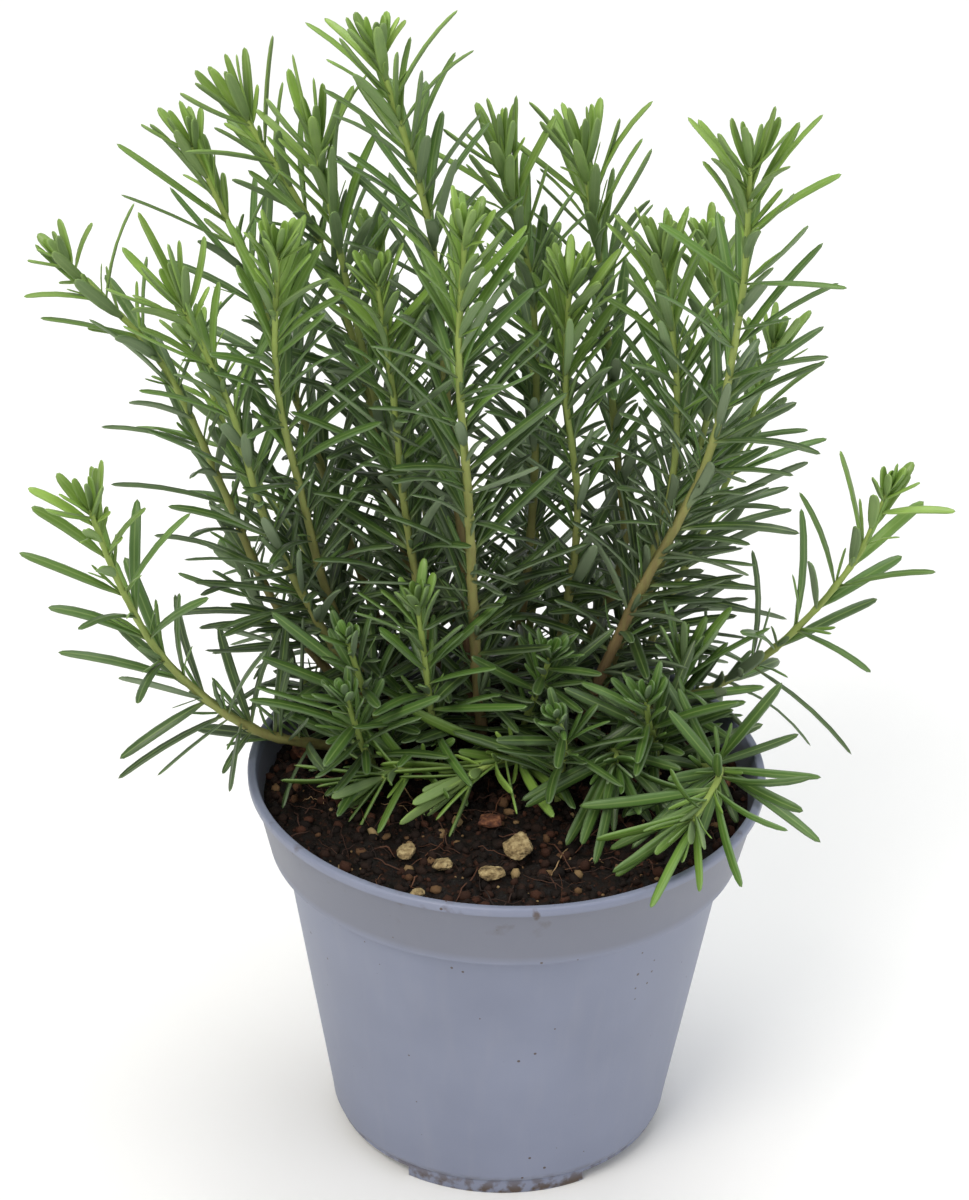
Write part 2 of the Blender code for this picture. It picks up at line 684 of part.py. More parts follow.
    def mesh_leaf(self, slot):
        """Draws the side of the node out to the leaf's widest place, then to its tip."""
        base, middle, tip = slot["leaf"]
        way = (tip - base).normalized()
        across = slot["direction"].cross(way).normalized()
        above = way.cross(across).normalized()
        if above.dot(slot["direction"]) < 0:
            above.negate()
        face = bmesh.ops.extrude_discrete_faces(self.bm, faces=[slot["face"]])["faces"][0]
        for corner in face.verts:
            from_base = corner.co - base
            right = math.copysign(LEAF_HALF_WIDTH, from_base.dot(across))
            up = math.copysign(LEAF_HALF_THICKNESS, from_base.dot(slot["direction"]))
            corner.co = middle + across * right + above * up
        end = bmesh.ops.poke(self.bm, faces=[face])["verts"][0]
        end.co = tip


def clear_of_pot(point):
    """True where a leaf has room above the soil, above the rim or outside the collar."""
    radius = math.hypot(point.x, point.y)
    if point.z > RIM_HEIGHT + POT_SPACE:
        return True
    if radius < inner_radius(point.z) - POT_SPACE:
        return point.z > soil_height(radius) + POT_SPACE
    return radius > RIM_RADIUS + POT_SPACE


def build_shoots(room, parts, cutters, material):
    """Grows every stem first, then the leaves that reach out, then all the others in turn."""
    dice = random.Random(7)
    shoots = []
    for number, (name, plan) in enumerate(SHOOTS.items()):
        shoots.append(Shoot(name, plan, number, room, dice))
    for shoot in shoots:
        shoot.reach_out()
    for rank in range(max(len(shoot.slots) for shoot in shoots)):
        for shoot in shoots:
            if rank < len(shoot.slots):
                shoot.fill(shoot.slots[-1 - rank])

    sockets = bmesh.new()
    for shoot in shoots:
        foot = shoot.route.points[0]
        radius = shoot.girth * math.sqrt(2) + GAP
        place = Matrix.Translation((foot.x, foot.y, foot.z - STEM_DEPTH / 2 + 2.0 - GAP))
        bmesh.ops.create_cone(
            sockets, cap_ends=True, segments=8, radius1=radius / math.cos(math.pi / 8),
            radius2=radius / math.cos(math.pi / 8), depth=STEM_DEPTH + 4.0, matrix=place,
        )
        shoot.mesh_leaves()
        object_of(shoot.bm, shoot.name, parts, material, smooth=True)
    return as_cutter(object_of(sockets, "stem_sockets", cutters, None))


def build():
    clear_scene()
    parts = bpy.data.collections.new("potted_rosemary")
    cutters = bpy.data.collections.new("cutters")
    bpy.context.scene.collection.children.link(parts)
    bpy.context.scene.collection.children.link(cutters)
    plastic = principled("pot_plastic", (0.24, 0.26, 0.34), 0.45)
    peat = principled("peat_soil", (0.03, 0.018, 0.012), 0.95)
    pumice = principled("pumice", (0.42, 0.34, 0.19), 0.9)
    bark = principled("bark", (0.16, 0.08, 0.04), 0.9)
    foliage = principled("rosemary_foliage", (0.06, 0.14, 0.03), 0.5)

    build_pot(parts, cutters, plastic)
    soil = build_soil(parts, peat)
    room = Room()
    dice = random.Random(3)
    for kind, plans, material in (("pumice", PUMICE_CHIPS, pumice), ("bark", BARK_CHIPS, bark)):
        for index, plan in enumerate(plans, 1):
            build_chip(f"{kind}_chip_{index}", plan, dice, parts, material)
            (x, y), long_half, _, _ = plan
            middle = (x, y, soil_height(math.hypot(x, y)) + 2.0)
            room.add(middle, (x, y, middle[2] + 0.5), long_half, long_half, -1, CHIP)
    cut(soil, build_shoots(room, parts, cutters, foliage))


build()
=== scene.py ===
"""Potted rosemary: the looks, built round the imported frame. Metres, +Z up, the front faces -Y."""

import math
import random

import bmesh
import bpy
from mathutils import Matrix, Quaternion, Vector, noise


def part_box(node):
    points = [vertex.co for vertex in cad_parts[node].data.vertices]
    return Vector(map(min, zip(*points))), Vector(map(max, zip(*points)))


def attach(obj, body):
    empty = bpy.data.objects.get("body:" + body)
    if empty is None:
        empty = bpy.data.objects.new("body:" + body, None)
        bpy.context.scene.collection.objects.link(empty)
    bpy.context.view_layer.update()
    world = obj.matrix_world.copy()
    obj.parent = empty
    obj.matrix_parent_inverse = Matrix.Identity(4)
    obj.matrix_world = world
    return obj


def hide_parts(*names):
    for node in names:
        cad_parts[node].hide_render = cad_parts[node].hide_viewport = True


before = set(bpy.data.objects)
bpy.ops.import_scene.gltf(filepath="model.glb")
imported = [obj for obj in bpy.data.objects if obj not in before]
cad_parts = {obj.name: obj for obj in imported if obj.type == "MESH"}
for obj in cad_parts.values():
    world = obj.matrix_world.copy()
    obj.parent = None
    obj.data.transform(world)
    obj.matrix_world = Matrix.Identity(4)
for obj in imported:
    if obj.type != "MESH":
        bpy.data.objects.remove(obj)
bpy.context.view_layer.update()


# ---- Viewpoint, floor and light -------------------------------------------------------------
# A long lens looks down on the plant from a metre away, tipped a little to one side. The plant
# stands on a plain sheet of pale paper, and the light comes from large soft lamps.

MM = 0.001
EYE = Vector((0.0, -851.0, 627.3)) * MM
AIM = Vector((-6.7, 21.0, 137.7)) * MM
LENS_TIP = math.radians(1.33)
FOCAL_LENGTH = 119.4
SENSOR_WIDTH = 36.0
FLOOR_HALF = 3.0
PLANT_MIDDLE = Vector((0.0, 0.0, 0.15))
scene = bpy.context.scene


def srgb(code):
    """A colour written as sRGB hex, as linear red, green, blue and alpha."""
    parts = [int(code[i:i + 2], 16) / 255 for i in (1, 3, 5)]
    return (*[c / 12.92 if c <= 0.04045 else ((c + 0.055) / 1.055) ** 2.4 for c in parts], 1.0)


def start_material(name):
    """A new material with only its Principled shader and output."""
    material = bpy.data.materials.new(name)
    material.use_nodes = True
    tree = material.node_tree
    shader = tree.nodes["Principled BSDF"]
    return material, tree, shader


def add_lamp(name, place, size, power, colour):
    """A square soft lamp that points at the middle of the plant."""
    light = bpy.data.lights.new(name, "AREA")
    light.shape = "SQUARE"
    light.size = size
    light.energy = power
    light.color = srgb(colour)[:3]
    lamp = bpy.data.objects.new(name, light)
    scene.collection.objects.link(lamp)
    lamp.location = place
    lamp.rotation_mode = "QUATERNION"
    lamp.rotation_quaternion = (PLANT_MIDDLE - lamp.location).to_track_quat("-Z", "Y")


camera = bpy.data.objects.new("camera", bpy.data.cameras.new("camera"))
scene.collection.objects.link(camera)
scene.camera = camera
camera.data.sensor_width = SENSOR_WIDTH
camera.data.lens = FOCAL_LENGTH
camera.data.clip_start = 0.05
camera.data.clip_end = 20.0
camera.location = EYE
camera.rotation_mode = "QUATERNION"
tip = Quaternion((0, 0, 1), LENS_TIP)
camera.rotation_quaternion = (AIM - camera.location).to_track_quat("-Z", "Y") @ tip

sheet = bmesh.new()
bmesh.ops.create_grid(sheet, x_segments=1, y_segments=1, size=FLOOR_HALF)
floor_mesh = bpy.data.meshes.new("floor")
sheet.to_mesh(floor_mesh)
sheet.free()
floor = bpy.data.objects.new("floor", floor_mesh)
scene.collection.objects.link(floor)
# Matt white paper: no gloss, so that the plant's soft shadow is all it shows.
paper, _, paper_shader = start_material("pale_paper_sweep")
paper_shader.inputs["Base Color"].default_value = srgb("#f4f4f2")
paper_shader.inputs["Roughness"].default_value = 0.9
floor_mesh.materials.append(paper)

scene.view_settings.view_transform = "Standard"
world = bpy.data.worlds.new("studio")
scene.world = world
world.use_nodes = True
background = world.node_tree.nodes["Background"]
background.inputs["Color"].default_value = srgb("#f7f8fa")
background.inputs["Strength"].default_value = 0.62
add_lamp("key", Vector((-0.7, -1.1, 1.5)), 0.9, 20.0, "#fffaf2")
add_lamp("fill", Vector((1.3, -0.9, 0.9)), 1.2, 6.5, "#f2f5ff")
add_lamp("top", Vector((0.1, 0.5, 1.6)), 1.0, 12.0, "#ffffff")


# ---- Pot ------------------------------------------------------------------------------------
# A grower's pot, injection-moulded in blue-grey polypropylene with a wall about 1 mm thick. Its
# collar hides a stacking step. It stands on a foot ring in three arcs and on a pad in the middle.
# The sizes are in millimetres, radii from the pot's axis and heights from its foot.

POT_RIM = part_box("pot")[1].x / MM
POT_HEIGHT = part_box("pot")[1].z / MM
LIP_FOOT = POT_HEIGHT - 2.4
COLLAR_TOP, COLLAR_BOTTOM = 63.6, 59.7
COLLAR_FOOT = 82.2
BODY_TOP, BODY_BOTTOM = 56.0, 43.0
FOOT_RING, FOOT_RISE = 42.1, 3.2
FOOT_ARCS = 3
FOOT_GAP = math.radians(56)
WALL = 1.0
PAD = 17.0
DRAIN_HOLES = 6
DRAIN_CIRCLE, DRAIN_RADIUS = 30.0, 4.0
POT_TURNS = 144


def arc(centre, radius, first, last, count):
    """Points along part of a circle in a profile, between two angles in degrees."""
    angles = [math.radians(first + (last - first) * i / count) for i in range(count + 1)]
    return [(centre[0] + radius * math.cos(a), centre[1] + radius * math.sin(a)) for a in angles]


def spin_profile(profile, turns):
    """Turns a profile in millimetres that starts and ends on the axis into a closed mesh."""
    bm = bmesh.new()
    points = [bm.verts.new((radius * MM, 0.0, height * MM)) for radius, height in profile]
    edges = [bm.edges.new(pair) for pair in zip(points, points[1:])]
    bmesh.ops.spin(
        bm, geom=points + edges, cent=(0, 0, 0), axis=(0, 0, 1), angle=math.tau, steps=turns,
        use_merge=True, use_duplicate=False,
    )
    bmesh.ops.remove_doubles(bm, verts=bm.verts, dist=1e-6)
    bmesh.ops.recalc_face_normals(bm, faces=bm.faces)
    return bm


def finish_piece(bm, name, material, node, angle=40):
    """Makes the mesh an object that rides on the pot's body and stands for its CAD node."""
    mesh = bpy.data.meshes.new(name)
    bm.to_mesh(mesh)
    bm.free()
    mesh.shade_smooth()
    if angle:
        mesh.set_sharp_from_angle(angle=math.radians(angle))
    mesh.materials.append(material)
    piece = bpy.data.objects.new(name, mesh)
    scene.collection.objects.link(piece)
    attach(piece, "root")
    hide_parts(node)


def cut_away(bm, cutter):
    """The mesh with the cutter's space taken out of it."""
    made = []
    for name, shape in (("kept", bm), ("cutter", cutter)):
        mesh = bpy.data.meshes.new(name)
        shape.to_mesh(mesh)
        shape.free()
        made.append(bpy.data.objects.new(name, mesh))
        scene.collection.objects.link(made[-1])
    boolean = made[0].modifiers.new("cut", "BOOLEAN")
    boolean.operation = "DIFFERENCE"
    boolean.object = made[1]
    result = bmesh.new()
    result.from_object(made[0], bpy.context.evaluated_depsgraph_get())
    for piece in made:
        bpy.data.objects.remove(piece, do_unlink=True)
    return result


def pot_profile():
    """From the inside of the floor, up the inside, over the lip, down the outside and under."""
    step = COLLAR_FOOT + WALL
    inside_foot = FOOT_RING - 1.3
    return [
        (0.0, WALL),
        (PAD - 0.4, WALL),
        (PAD + 2.6, FOOT_RISE + WALL),
        (BODY_BOTTOM - 4.2, FOOT_RISE + WALL),
        *arc((BODY_BOTTOM - 4.0, FOOT_RISE + WALL + 3.0), 3.0, -70, -6, 5),
        (BODY_TOP - WALL, step - 1.0),
        (BODY_TOP - WALL + 0.5, step - 0.2),
        (COLLAR_BOTTOM - WALL - 0.6, step),
        (COLLAR_BOTTOM - WALL, step + 0.5),
        (COLLAR_TOP - 1.2, LIP_FOOT),
        *arc((POT_RIM - 1.6, POT_HEIGHT - 0.6), 0.6, 180, 90, 4),
        *arc((POT_RIM - 0.7, POT_HEIGHT - 0.7), 0.7, 90, 0, 5),
        (POT_RIM - 0.05, LIP_FOOT + 0.4),
        (POT_RIM - 0.35, LIP_FOOT + 0.05),
        (COLLAR_TOP + 0.25, LIP_FOOT - 0.05),
        (COLLAR_TOP, LIP_FOOT - 0.3),
        (COLLAR_BOTTOM + 0.02, COLLAR_FOOT + 0.7),
        *arc((COLLAR_BOTTOM - 0.6, COLLAR_FOOT + 0.6), 0.6, 0, -90, 4),
        (BODY_TOP + 0.35, COLLAR_FOOT - 0.1),
        (BODY_TOP, COLLAR_FOOT - 0.6),
        (BODY_BOTTOM + 0.3, FOOT_RISE + 3.6),
        *arc((BODY_BOTTOM - 2.6, FOOT_RISE + 3.3), 2.9, 0, -58, 6),
        (FOOT_RING, FOOT_RISE + 0.3),
        (FOOT_RING - 0.2, 0.4),
        (FOOT_RING - 0.5, 0.0),
        (inside_foot, 0.0),
        (inside_foot, FOOT_RISE),
        (PAD + 3.0, FOOT_RISE),
        (PAD + 0.4, 0.4),
        (PAD, 0.0),
        (0.0, 0.0),
    ]


def foot_gaps():
    """Wedges that part the foot ring into its arcs, one of which faces the front."""
    bm = bmesh.new()
    slope = math.tan(FOOT_GAP / 2)
    for index in range(FOOT_ARCS):
        turn = Matrix.Rotation(math.tau * (index + 0.5) / FOOT_ARCS - math.pi / 2, 3, "Z")
        place = Vector((FOOT_RING + 0.9, 0, FOOT_RISE - 3.1)) * MM
        corners = bmesh.ops.create_cube(bm, size=1.0)["verts"]
        bmesh.ops.scale(bm, vec=(20 * MM, 1.0, 6 * MM), verts=corners)
        bmesh.ops.translate(bm, vec=place, verts=corners)
        for corner in corners:
            corner.co.y = math.copysign(corner.co.x * slope, corner.co.y)
        bmesh.ops.rotate(bm, cent=(0, 0, 0), matrix=turn, verts=corners)
    return bm


def drain_holes():
    """Round pegs that pierce the raised channel round the pad."""
    bm = bmesh.new()
    for index in range(DRAIN_HOLES):
        turn = Matrix.Rotation(math.tau * (index + 0.5) / DRAIN_HOLES, 4, "Z")
        place = turn @ Matrix.Translation((DRAIN_CIRCLE * MM, 0, FOOT_RISE * MM))
        bmesh.ops.create_cone(
            bm, cap_ends=True, segments=32, radius1=DRAIN_RADIUS * MM, radius2=DRAIN_RADIUS * MM,
            depth=8 * MM, matrix=place,
        )
    return bm


def add_node(tree, kind, settings=None, links=None):
    """Adds a shader node. A setting is an input's name or number, a property, or a ramp's stops.
    A link gives an input its source: a socket, or a node, for that node's first output."""
    made = tree.nodes.new("ShaderNode" + kind)
    for name, value in (settings or {}).items():
        if name == "stops":
            while len(made.color_ramp.elements) < len(value):
                made.color_ramp.elements.new(1.0)
            for stop, (place, colour) in zip(made.color_ramp.elements, value):
                stop.position = place
                stop.color = colour
        elif isinstance(name, int) or name in made.inputs:
            made.inputs[name].default_value = value
        else:
            setattr(made, name, value)
    for socket, source in (links or {}).items():
        output = source.outputs[0] if hasattr(source, "outputs") else source
        tree.links.new(output, made.inputs[socket])
    return made


def pot_plastic():
    """Blue-grey polypropylene: satin, a little cloudy from the regrind, with soil dust, dark
    specks, wet-dirt smears under the lip and a dirty line round the foot."""
    material, tree, shader = start_material("moulded_polypropylene_blue_grey")
    place = add_node(tree, "TexCoord").outputs["Object"]
    height = add_node(tree, "SeparateXYZ", links={0: place}).outputs["Z"]

    cloud = add_node(tree, "TexNoise", {"Scale": 1 / (28 * MM), "Detail": 3.0}, {"Vector": place})
    body = add_node(
        tree, "ValToRGB", {"stops": [(0.25, srgb("#747a8e")), (0.75, srgb("#7f8599"))]},
        {"Fac": cloud},
    )
    streak_place = add_node(tree, "Mapping", {"Scale": (1.0, 1.0, 0.12)}, {"Vector": place})
    streak = add_node(
        tree, "TexNoise", {"Scale": 1 / (5 * MM), "Detail": 4.0}, {"Vector": streak_place}
    )
    streak_share = add_node(
        tree, "MapRange", {"From Min": 0.5, "From Max": 0.85, "To Max": 0.2}, {"Value": streak}
    )
    dusty = add_node(
        tree, "Mix", {"data_type": "RGBA", "B": srgb("#8f919c")}, {"Factor": streak_share, "A": body}
    )

    # Specks of dried soil, a millimetre or less across, strewn unevenly.
    speck = add_node(
        tree, "TexVoronoi", {"Scale": 1 / (3.4 * MM), "Randomness": 1.0}, {"Vector": place}
    )
    speck_size = add_node(tree, "TexNoise", {"Scale": 1 / (16 * MM), "Detail": 2.0}, {"Vector": place})
    speck_limit = add_node(
        tree, "MapRange", {"From Min": 0.46, "From Max": 0.66, "To Min": 0.0, "To Max": 0.12},
        {"Value": speck_size},
    )
    speck_here = add_node(tree, "Math", {"operation": "LESS_THAN"}, {0: speck, 1: speck_limit})
    speckled = add_node(
        tree, "Mix", {"data_type": "RGBA", "B": srgb("#4b3f3a")},
        {"Factor": speck_here, "A": dusty.outputs["Result"]},
    )

    # Brown smears just under the lip, and the gritty dirt that gathers at the foot.
    smear = add_node(tree, "TexNoise", {"Scale": 1 / (7 * MM), "Detail": 6.0}, {"Vector": place})
    near_lip = add_node(
        tree, "MapRange", {"From Min": 90 * MM, "From Max": (LIP_FOOT - 0.1) * MM}, {"Value": height}
    )
    grit = add_node(tree, "TexNoise", {"Scale": 1 / (3 * MM), "Detail": 5.0}, {"Vector": place})
    near_foot = add_node(
        tree, "MapRange", {"From Min": 6.5 * MM, "From Max": 1.0 * MM}, {"Value": height}
    )
    lip_smear = add_node(
        tree, "MapRange", {"From Min": 0.6, "From Max": 0.72, "To Max": 0.7}, {"Value": smear}
    )
    foot_smear = add_node(
        tree, "MapRange", {"From Min": 0.44, "From Max": 0.58, "To Max": 1.0}, {"Value": grit}
    )
    lip_share = add_node(tree, "Math", {"operation": "MULTIPLY"}, {0: near_lip, 1: lip_smear})
    foot_share = add_node(tree, "Math", {"operation": "MULTIPLY"}, {0: near_foot, 1: foot_smear})
    dirt_share = add_node(tree, "Math", {"operation": "MAXIMUM"}, {0: lip_share, 1: foot_share})
    # Painted shade: the collar under the lip's overhang is painted greyer than the wall.
    over_collar = add_node(
        tree, "MapRange", {"From Min": COLLAR_FOOT * MM, "From Max": (COLLAR_FOOT + 3) * MM},
        {"Value": height},
    )
    under_lip = add_node(
        tree, "MapRange", {"From Min": (LIP_FOOT + 0.4) * MM, "From Max": (LIP_FOOT - 0.6) * MM},
        {"Value": height},
    )
    lip_shade_share = add_node(tree, "Math", {"operation": "MULTIPLY"}, {0: over_collar, 1: under_lip})
    painted_lip_shade = add_node(tree, "MapRange", {"To Max": 0.62}, {"Value": lip_shade_share})
    collar = add_node(
        tree, "Mix", {"data_type": "RGBA", "B": srgb("#66676f")},
        {"Factor": painted_lip_shade, "A": speckled.outputs["Result"]},
    )

    # One dried trickle of soil runs over the lip at the front.
    squeeze = 0.45
    trickle_place = add_node(tree, "Mapping", {"Scale": (1.0, 1.0, squeeze)}, {"Vector": place})
    trickle_far = add_node(
        tree, "VectorMath", {"operation": "DISTANCE", 1: Vector((8.0, -64.4, 99.0 * squeeze)) * MM},
        {0: trickle_place},
    )
    trickle_near = add_node(
        tree, "MapRange", {"From Min": 2.6 * MM, "From Max": 0.6 * MM, "To Max": 0.45},
        {"Value": trickle_far.outputs["Value"]},
    )
    trickle = add_node(tree, "Math", {"operation": "ADD"}, {0: smear, 1: trickle_near})
    trickle_share = add_node(
        tree, "MapRange", {"From Min": 0.74, "From Max": 0.86, "To Max": 0.85}, {"Value": trickle}
    )
    all_dirt = add_node(tree, "Math", {"operation": "MAXIMUM"}, {0: dirt_share, 1: trickle_share})
    dirty = add_node(
        tree, "Mix", {"data_type": "RGBA", "B": srgb("#4a3a2e")},
        {"Factor": all_dirt, "A": collar.outputs["Result"]},
    )
    tree.links.new(dirty.outputs["Result"], shader.inputs["Base Color"])

    gloss = add_node(tree, "MapRange", {"To Min": 0.36, "To Max": 0.56}, {"Value": cloud})
    tree.links.new(gloss.outputs[0], shader.inputs["Roughness"])
    grain = add_node(tree, "TexNoise", {"Scale": 1 / (0.5 * MM), "Detail": 2.0}, {"Vector": place})
    bump = add_node(tree, "Bump", {"Strength": 0.12, "Distance": 0.1 * MM}, {"Height": grain})
    tree.links.new(bump.outputs[0], shader.inputs["Normal"])
    return material


pot_mesh = cut_away(cut_away(spin_profile(pot_profile(), POT_TURNS), foot_gaps()), drain_holes())
finish_piece(pot_mesh, "moulded_pot", pot_plastic(), "pot")


# ---- Potting soil ---------------------------------------------------------------------------
# Moist dark peat, pressed into the pot and lumpy on top. Loose crumbs lie on it, with coir and
# bark fibres and a few fine roots. The filling itself is one closed lump.

SOIL_EDGE = (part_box("potting_soil")[1].x + 0.2 * MM) / MM
SOIL_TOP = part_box("potting_soil")[1].z / MM
SOIL_DIP = 2.0
SOIL_RINGS = 84
SOIL_TURNS = 300
CRUMBS = 3200
CRUMB_BATCH = 64
SMALLEST_CRUMB, CRUMB_SPREAD = 0.45, 1.75
BROWN_SHARE = 0.93
FIBRES = 210
FIBRE_STEPS = 9
FIBRE_RADII = (0.07, 0.09, 0.12, 0.2)


def soil_level(x, y):
    """Height of the lumpy soil surface in millimetres at a place in millimetres."""
    share = min(1.0, math.hypot(x, y) / SOIL_EDGE)
    place = Vector((x, y, 0.0))
    lumps = 1.2 * noise.noise(place / 9.0) + 1.1 * noise.noise(place / 3.6)
    crumbs = 0.9 * abs(noise.noise(place / 1.9)) + 0.4 * noise.noise(place / 0.9)
    return SOIL_TOP - SOIL_DIP * share ** 2 - 0.7 + lumps + crumbs


def soil_mesh():
    """The filling: it follows the inside of the pot, and its top is raised into lumps."""
    top = [(SOIL_EDGE * i / SOIL_RINGS, SOIL_TOP) for i in range(SOIL_RINGS + 1)]
    below = [
        (COLLAR_BOTTOM - WALL - 0.3, COLLAR_FOOT + WALL + 0.3),
        (BODY_TOP - WALL - 0.3, COLLAR_FOOT - 0.1),
        (BODY_BOTTOM - 1.4, FOOT_RISE + WALL + 3.6),
        (BODY_BOTTOM - 4.4, FOOT_RISE + WALL + 0.4),
        (PAD + 2.4, FOOT_RISE + WALL + 0.4),
        (PAD - 0.8, WALL + 0.4),
        (0.0, WALL + 0.4),
    ]
    bm = spin_profile(top + below, SOIL_TURNS)
    for corner in bm.verts:
        if corner.co.z > (SOIL_TOP - 0.01) * MM:
            corner.co.z = soil_level(corner.co.x / MM, corner.co.y / MM) * MM
    return bm


def peat():
    """Moist peat: nearly black, brown where it has dried, rough, with a faint wet sheen."""
    material, tree, shader = start_material("moist_peat")
    place = add_node(tree, "TexCoord").outputs["Object"]
    clump = add_node(
        tree, "TexNoise", {"Scale": 1 / (2.2 * MM), "Detail": 6.0, "Roughness": 0.65}, {"Vector": place}
    )
    colour = add_node(
        tree, "ValToRGB",
        {"stops": [
            (0.36, srgb("#080504")), (0.54, srgb("#150d08")), (0.70, srgb("#341d11")),
        ]},
        {"Fac": clump},
    )
    tree.links.new(colour.outputs[0], shader.inputs["Base Color"])
    wet = add_node(
        tree, "MapRange", {"From Min": 0.35, "From Max": 0.6, "To Min": 0.5, "To Max": 0.95},
        {"Value": clump},
    )
    tree.links.new(wet.outputs[0], shader.inputs["Roughness"])
    shader.inputs["Specular IOR Level"].default_value = 0.25
    grain = add_node(tree, "TexNoise", {"Scale": 1 / (0.7 * MM), "Detail": 4.0}, {"Vector": place})
    bump = add_node(tree, "Bump", {"Strength": 0.8, "Distance": 0.5 * MM}, {"Height": grain})
    tree.links.new(bump.outputs[0], shader.inputs["Normal"])
    return material


def random_place(dice, limit):
    """A place on the soil in millimetres, evenly spread within a radius."""
    radius = limit * math.sqrt(dice.random())
    turn = dice.uniform(0, math.tau)
    return radius * math.cos(turn), radius * math.sin(turn)


def random_turn(dice):
    """A turn by any angle about any axis."""
    axis = Vector((dice.gauss(0, 1), dice.gauss(0, 1), dice.gauss(0, 1))).normalized()
    return Matrix.Rotation(dice.uniform(0, math.tau), 3, axis)


def crumb_mesh():
    """Loose crumbs of peat, with a few bits of pumice and bark among them. They are made in
    batches, because an operator slows down as its mesh grows."""
    dice = random.Random(11)
    lump = bmesh.new()
    bmesh.ops.create_icosphere(lump, subdivisions=1, radius=1.0)
    for corner in lump.verts:
        corner.co *= dice.uniform(0.75, 1.15)
    master = bpy.data.meshes.new("crumb_master")
    lump.to_mesh(master)
    lump.free()

    whole = bmesh.new()
    whole.verts.layers.float.new("crumb_tone")
    for _ in range(CRUMBS // CRUMB_BATCH):
        bm = bmesh.new()
        tone = bm.verts.layers.float.new("crumb_tone")
        for _ in range(CRUMB_BATCH):
            x, y = random_place(dice, SOIL_EDGE - 1.2)
            size = SMALLEST_CRUMB + CRUMB_SPREAD * dice.random() ** 3
            brown = dice.random() < BROWN_SHARE
            shade = dice.uniform(0.0, 0.55) if brown else dice.uniform(0.6, 0.95)
            before = len(bm.verts)
            bm.from_mesh(master)
            bm.verts.ensure_lookup_table()
            fresh = bm.verts[before:]
            shape = Vector((size, size * dice.uniform(0.6, 1.0), size * dice.uniform(0.5, 0.9)))
            bmesh.ops.scale(bm, vec=shape * MM, verts=fresh)
            bmesh.ops.rotate(bm, cent=(0, 0, 0), matrix=random_turn(dice), verts=fresh)
            height = soil_level(x, y) + 0.25 * size
            bmesh.ops.translate(bm, vec=Vector((x, y, height)) * MM, verts=fresh)
            for corner in fresh:
                corner[tone] = shade
        batch = bpy.data.meshes.new("crumb_batch")
        bm.to_mesh(batch)
        bm.free()
        whole.from_mesh(batch)
        bpy.data.meshes.remove(batch)
    bpy.data.meshes.remove(master)
    return whole


def crumb_finish():
    """Crumbs of peat from black to red-brown; the palest are pumice grit."""
    material, tree, shader = start_material("peat_crumbs_and_grit")
    tone = add_node(tree, "Attribute", {"attribute_name": "crumb_tone"})
    colour = add_node(
        tree, "ValToRGB",
        {"stops": [
            (0.0, srgb("#0f0a07")), (0.35, srgb("#251710")), (0.55, srgb("#43271a")),
            (0.75, srgb("#6d5438")), (1.0, srgb("#a08b62")),
        ]},
        {"Fac": tone.outputs["Fac"]},
    )
    tree.links.new(colour.outputs[0], shader.inputs["Base Color"])
    shader.inputs["Roughness"].default_value = 0.85
    shader.inputs["Specular IOR Level"].default_value = 0.25
    place = add_node(tree, "TexCoord").outputs["Object"]
    grain = add_node(tree, "TexNoise", {"Scale": 1 / (0.5 * MM), "Detail": 3.0}, {"Vector": place})
    bump = add_node(tree, "Bump", {"Strength": 0.7, "Distance": 0.3 * MM}, {"Height": grain})
    tree.links.new(bump.outputs[0], shader.inputs["Normal"])
    return material


def sweep(bm, points, radii, sides, layer=None, value=0.0):
    """A closed round strand through the points, all in metres; returns its rings of corners."""
    side = (points[1] - points[0]).orthogonal().normalized()
    ring = bmesh.ops.create_circle(bm, cap_ends=False, segments=sides, radius=1.0)["verts"]
    edges = list({edge for corner in ring for edge in corner.link_edges})
    rings = []
    for index, (point, radius) in enumerate(zip(points, radii)):
        ahead = points[min(index + 1, len(points) - 1)] - points[max(index - 1, 0)]
        ahead.normalize()
        side = (side - ahead * side.dot(ahead)).normalized()
        across = ahead.cross(side)
        if index:
            made = bmesh.ops.extrude_edge_only(bm, edges=edges)["geom"]
            partner = {}
            edges = [item for item in made if isinstance(item, bmesh.types.BMEdge)]
            fresh = {item for item in made if isinstance(item, bmesh.types.BMVert)}
            edges = [edge for edge in edges if set(edge.verts) <= fresh]
            for corner in fresh:
                for edge in corner.link_edges:
                    other = edge.other_vert(corner)
                    if other not in fresh and other in ring:
                        partner[other] = corner
            ring = [partner[corner] for corner in ring]
        for step, corner in enumerate(ring):
            turn = math.tau * step / sides
            corner.co = point + radius * (math.cos(turn) * side + math.sin(turn) * across)
            if layer is not None:
                corner[layer] = value
        rings.append(list(ring))
    for ends in (rings[0], rings[-1]):
        bmesh.ops.contextual_create(bm, geom=ends)
    return rings


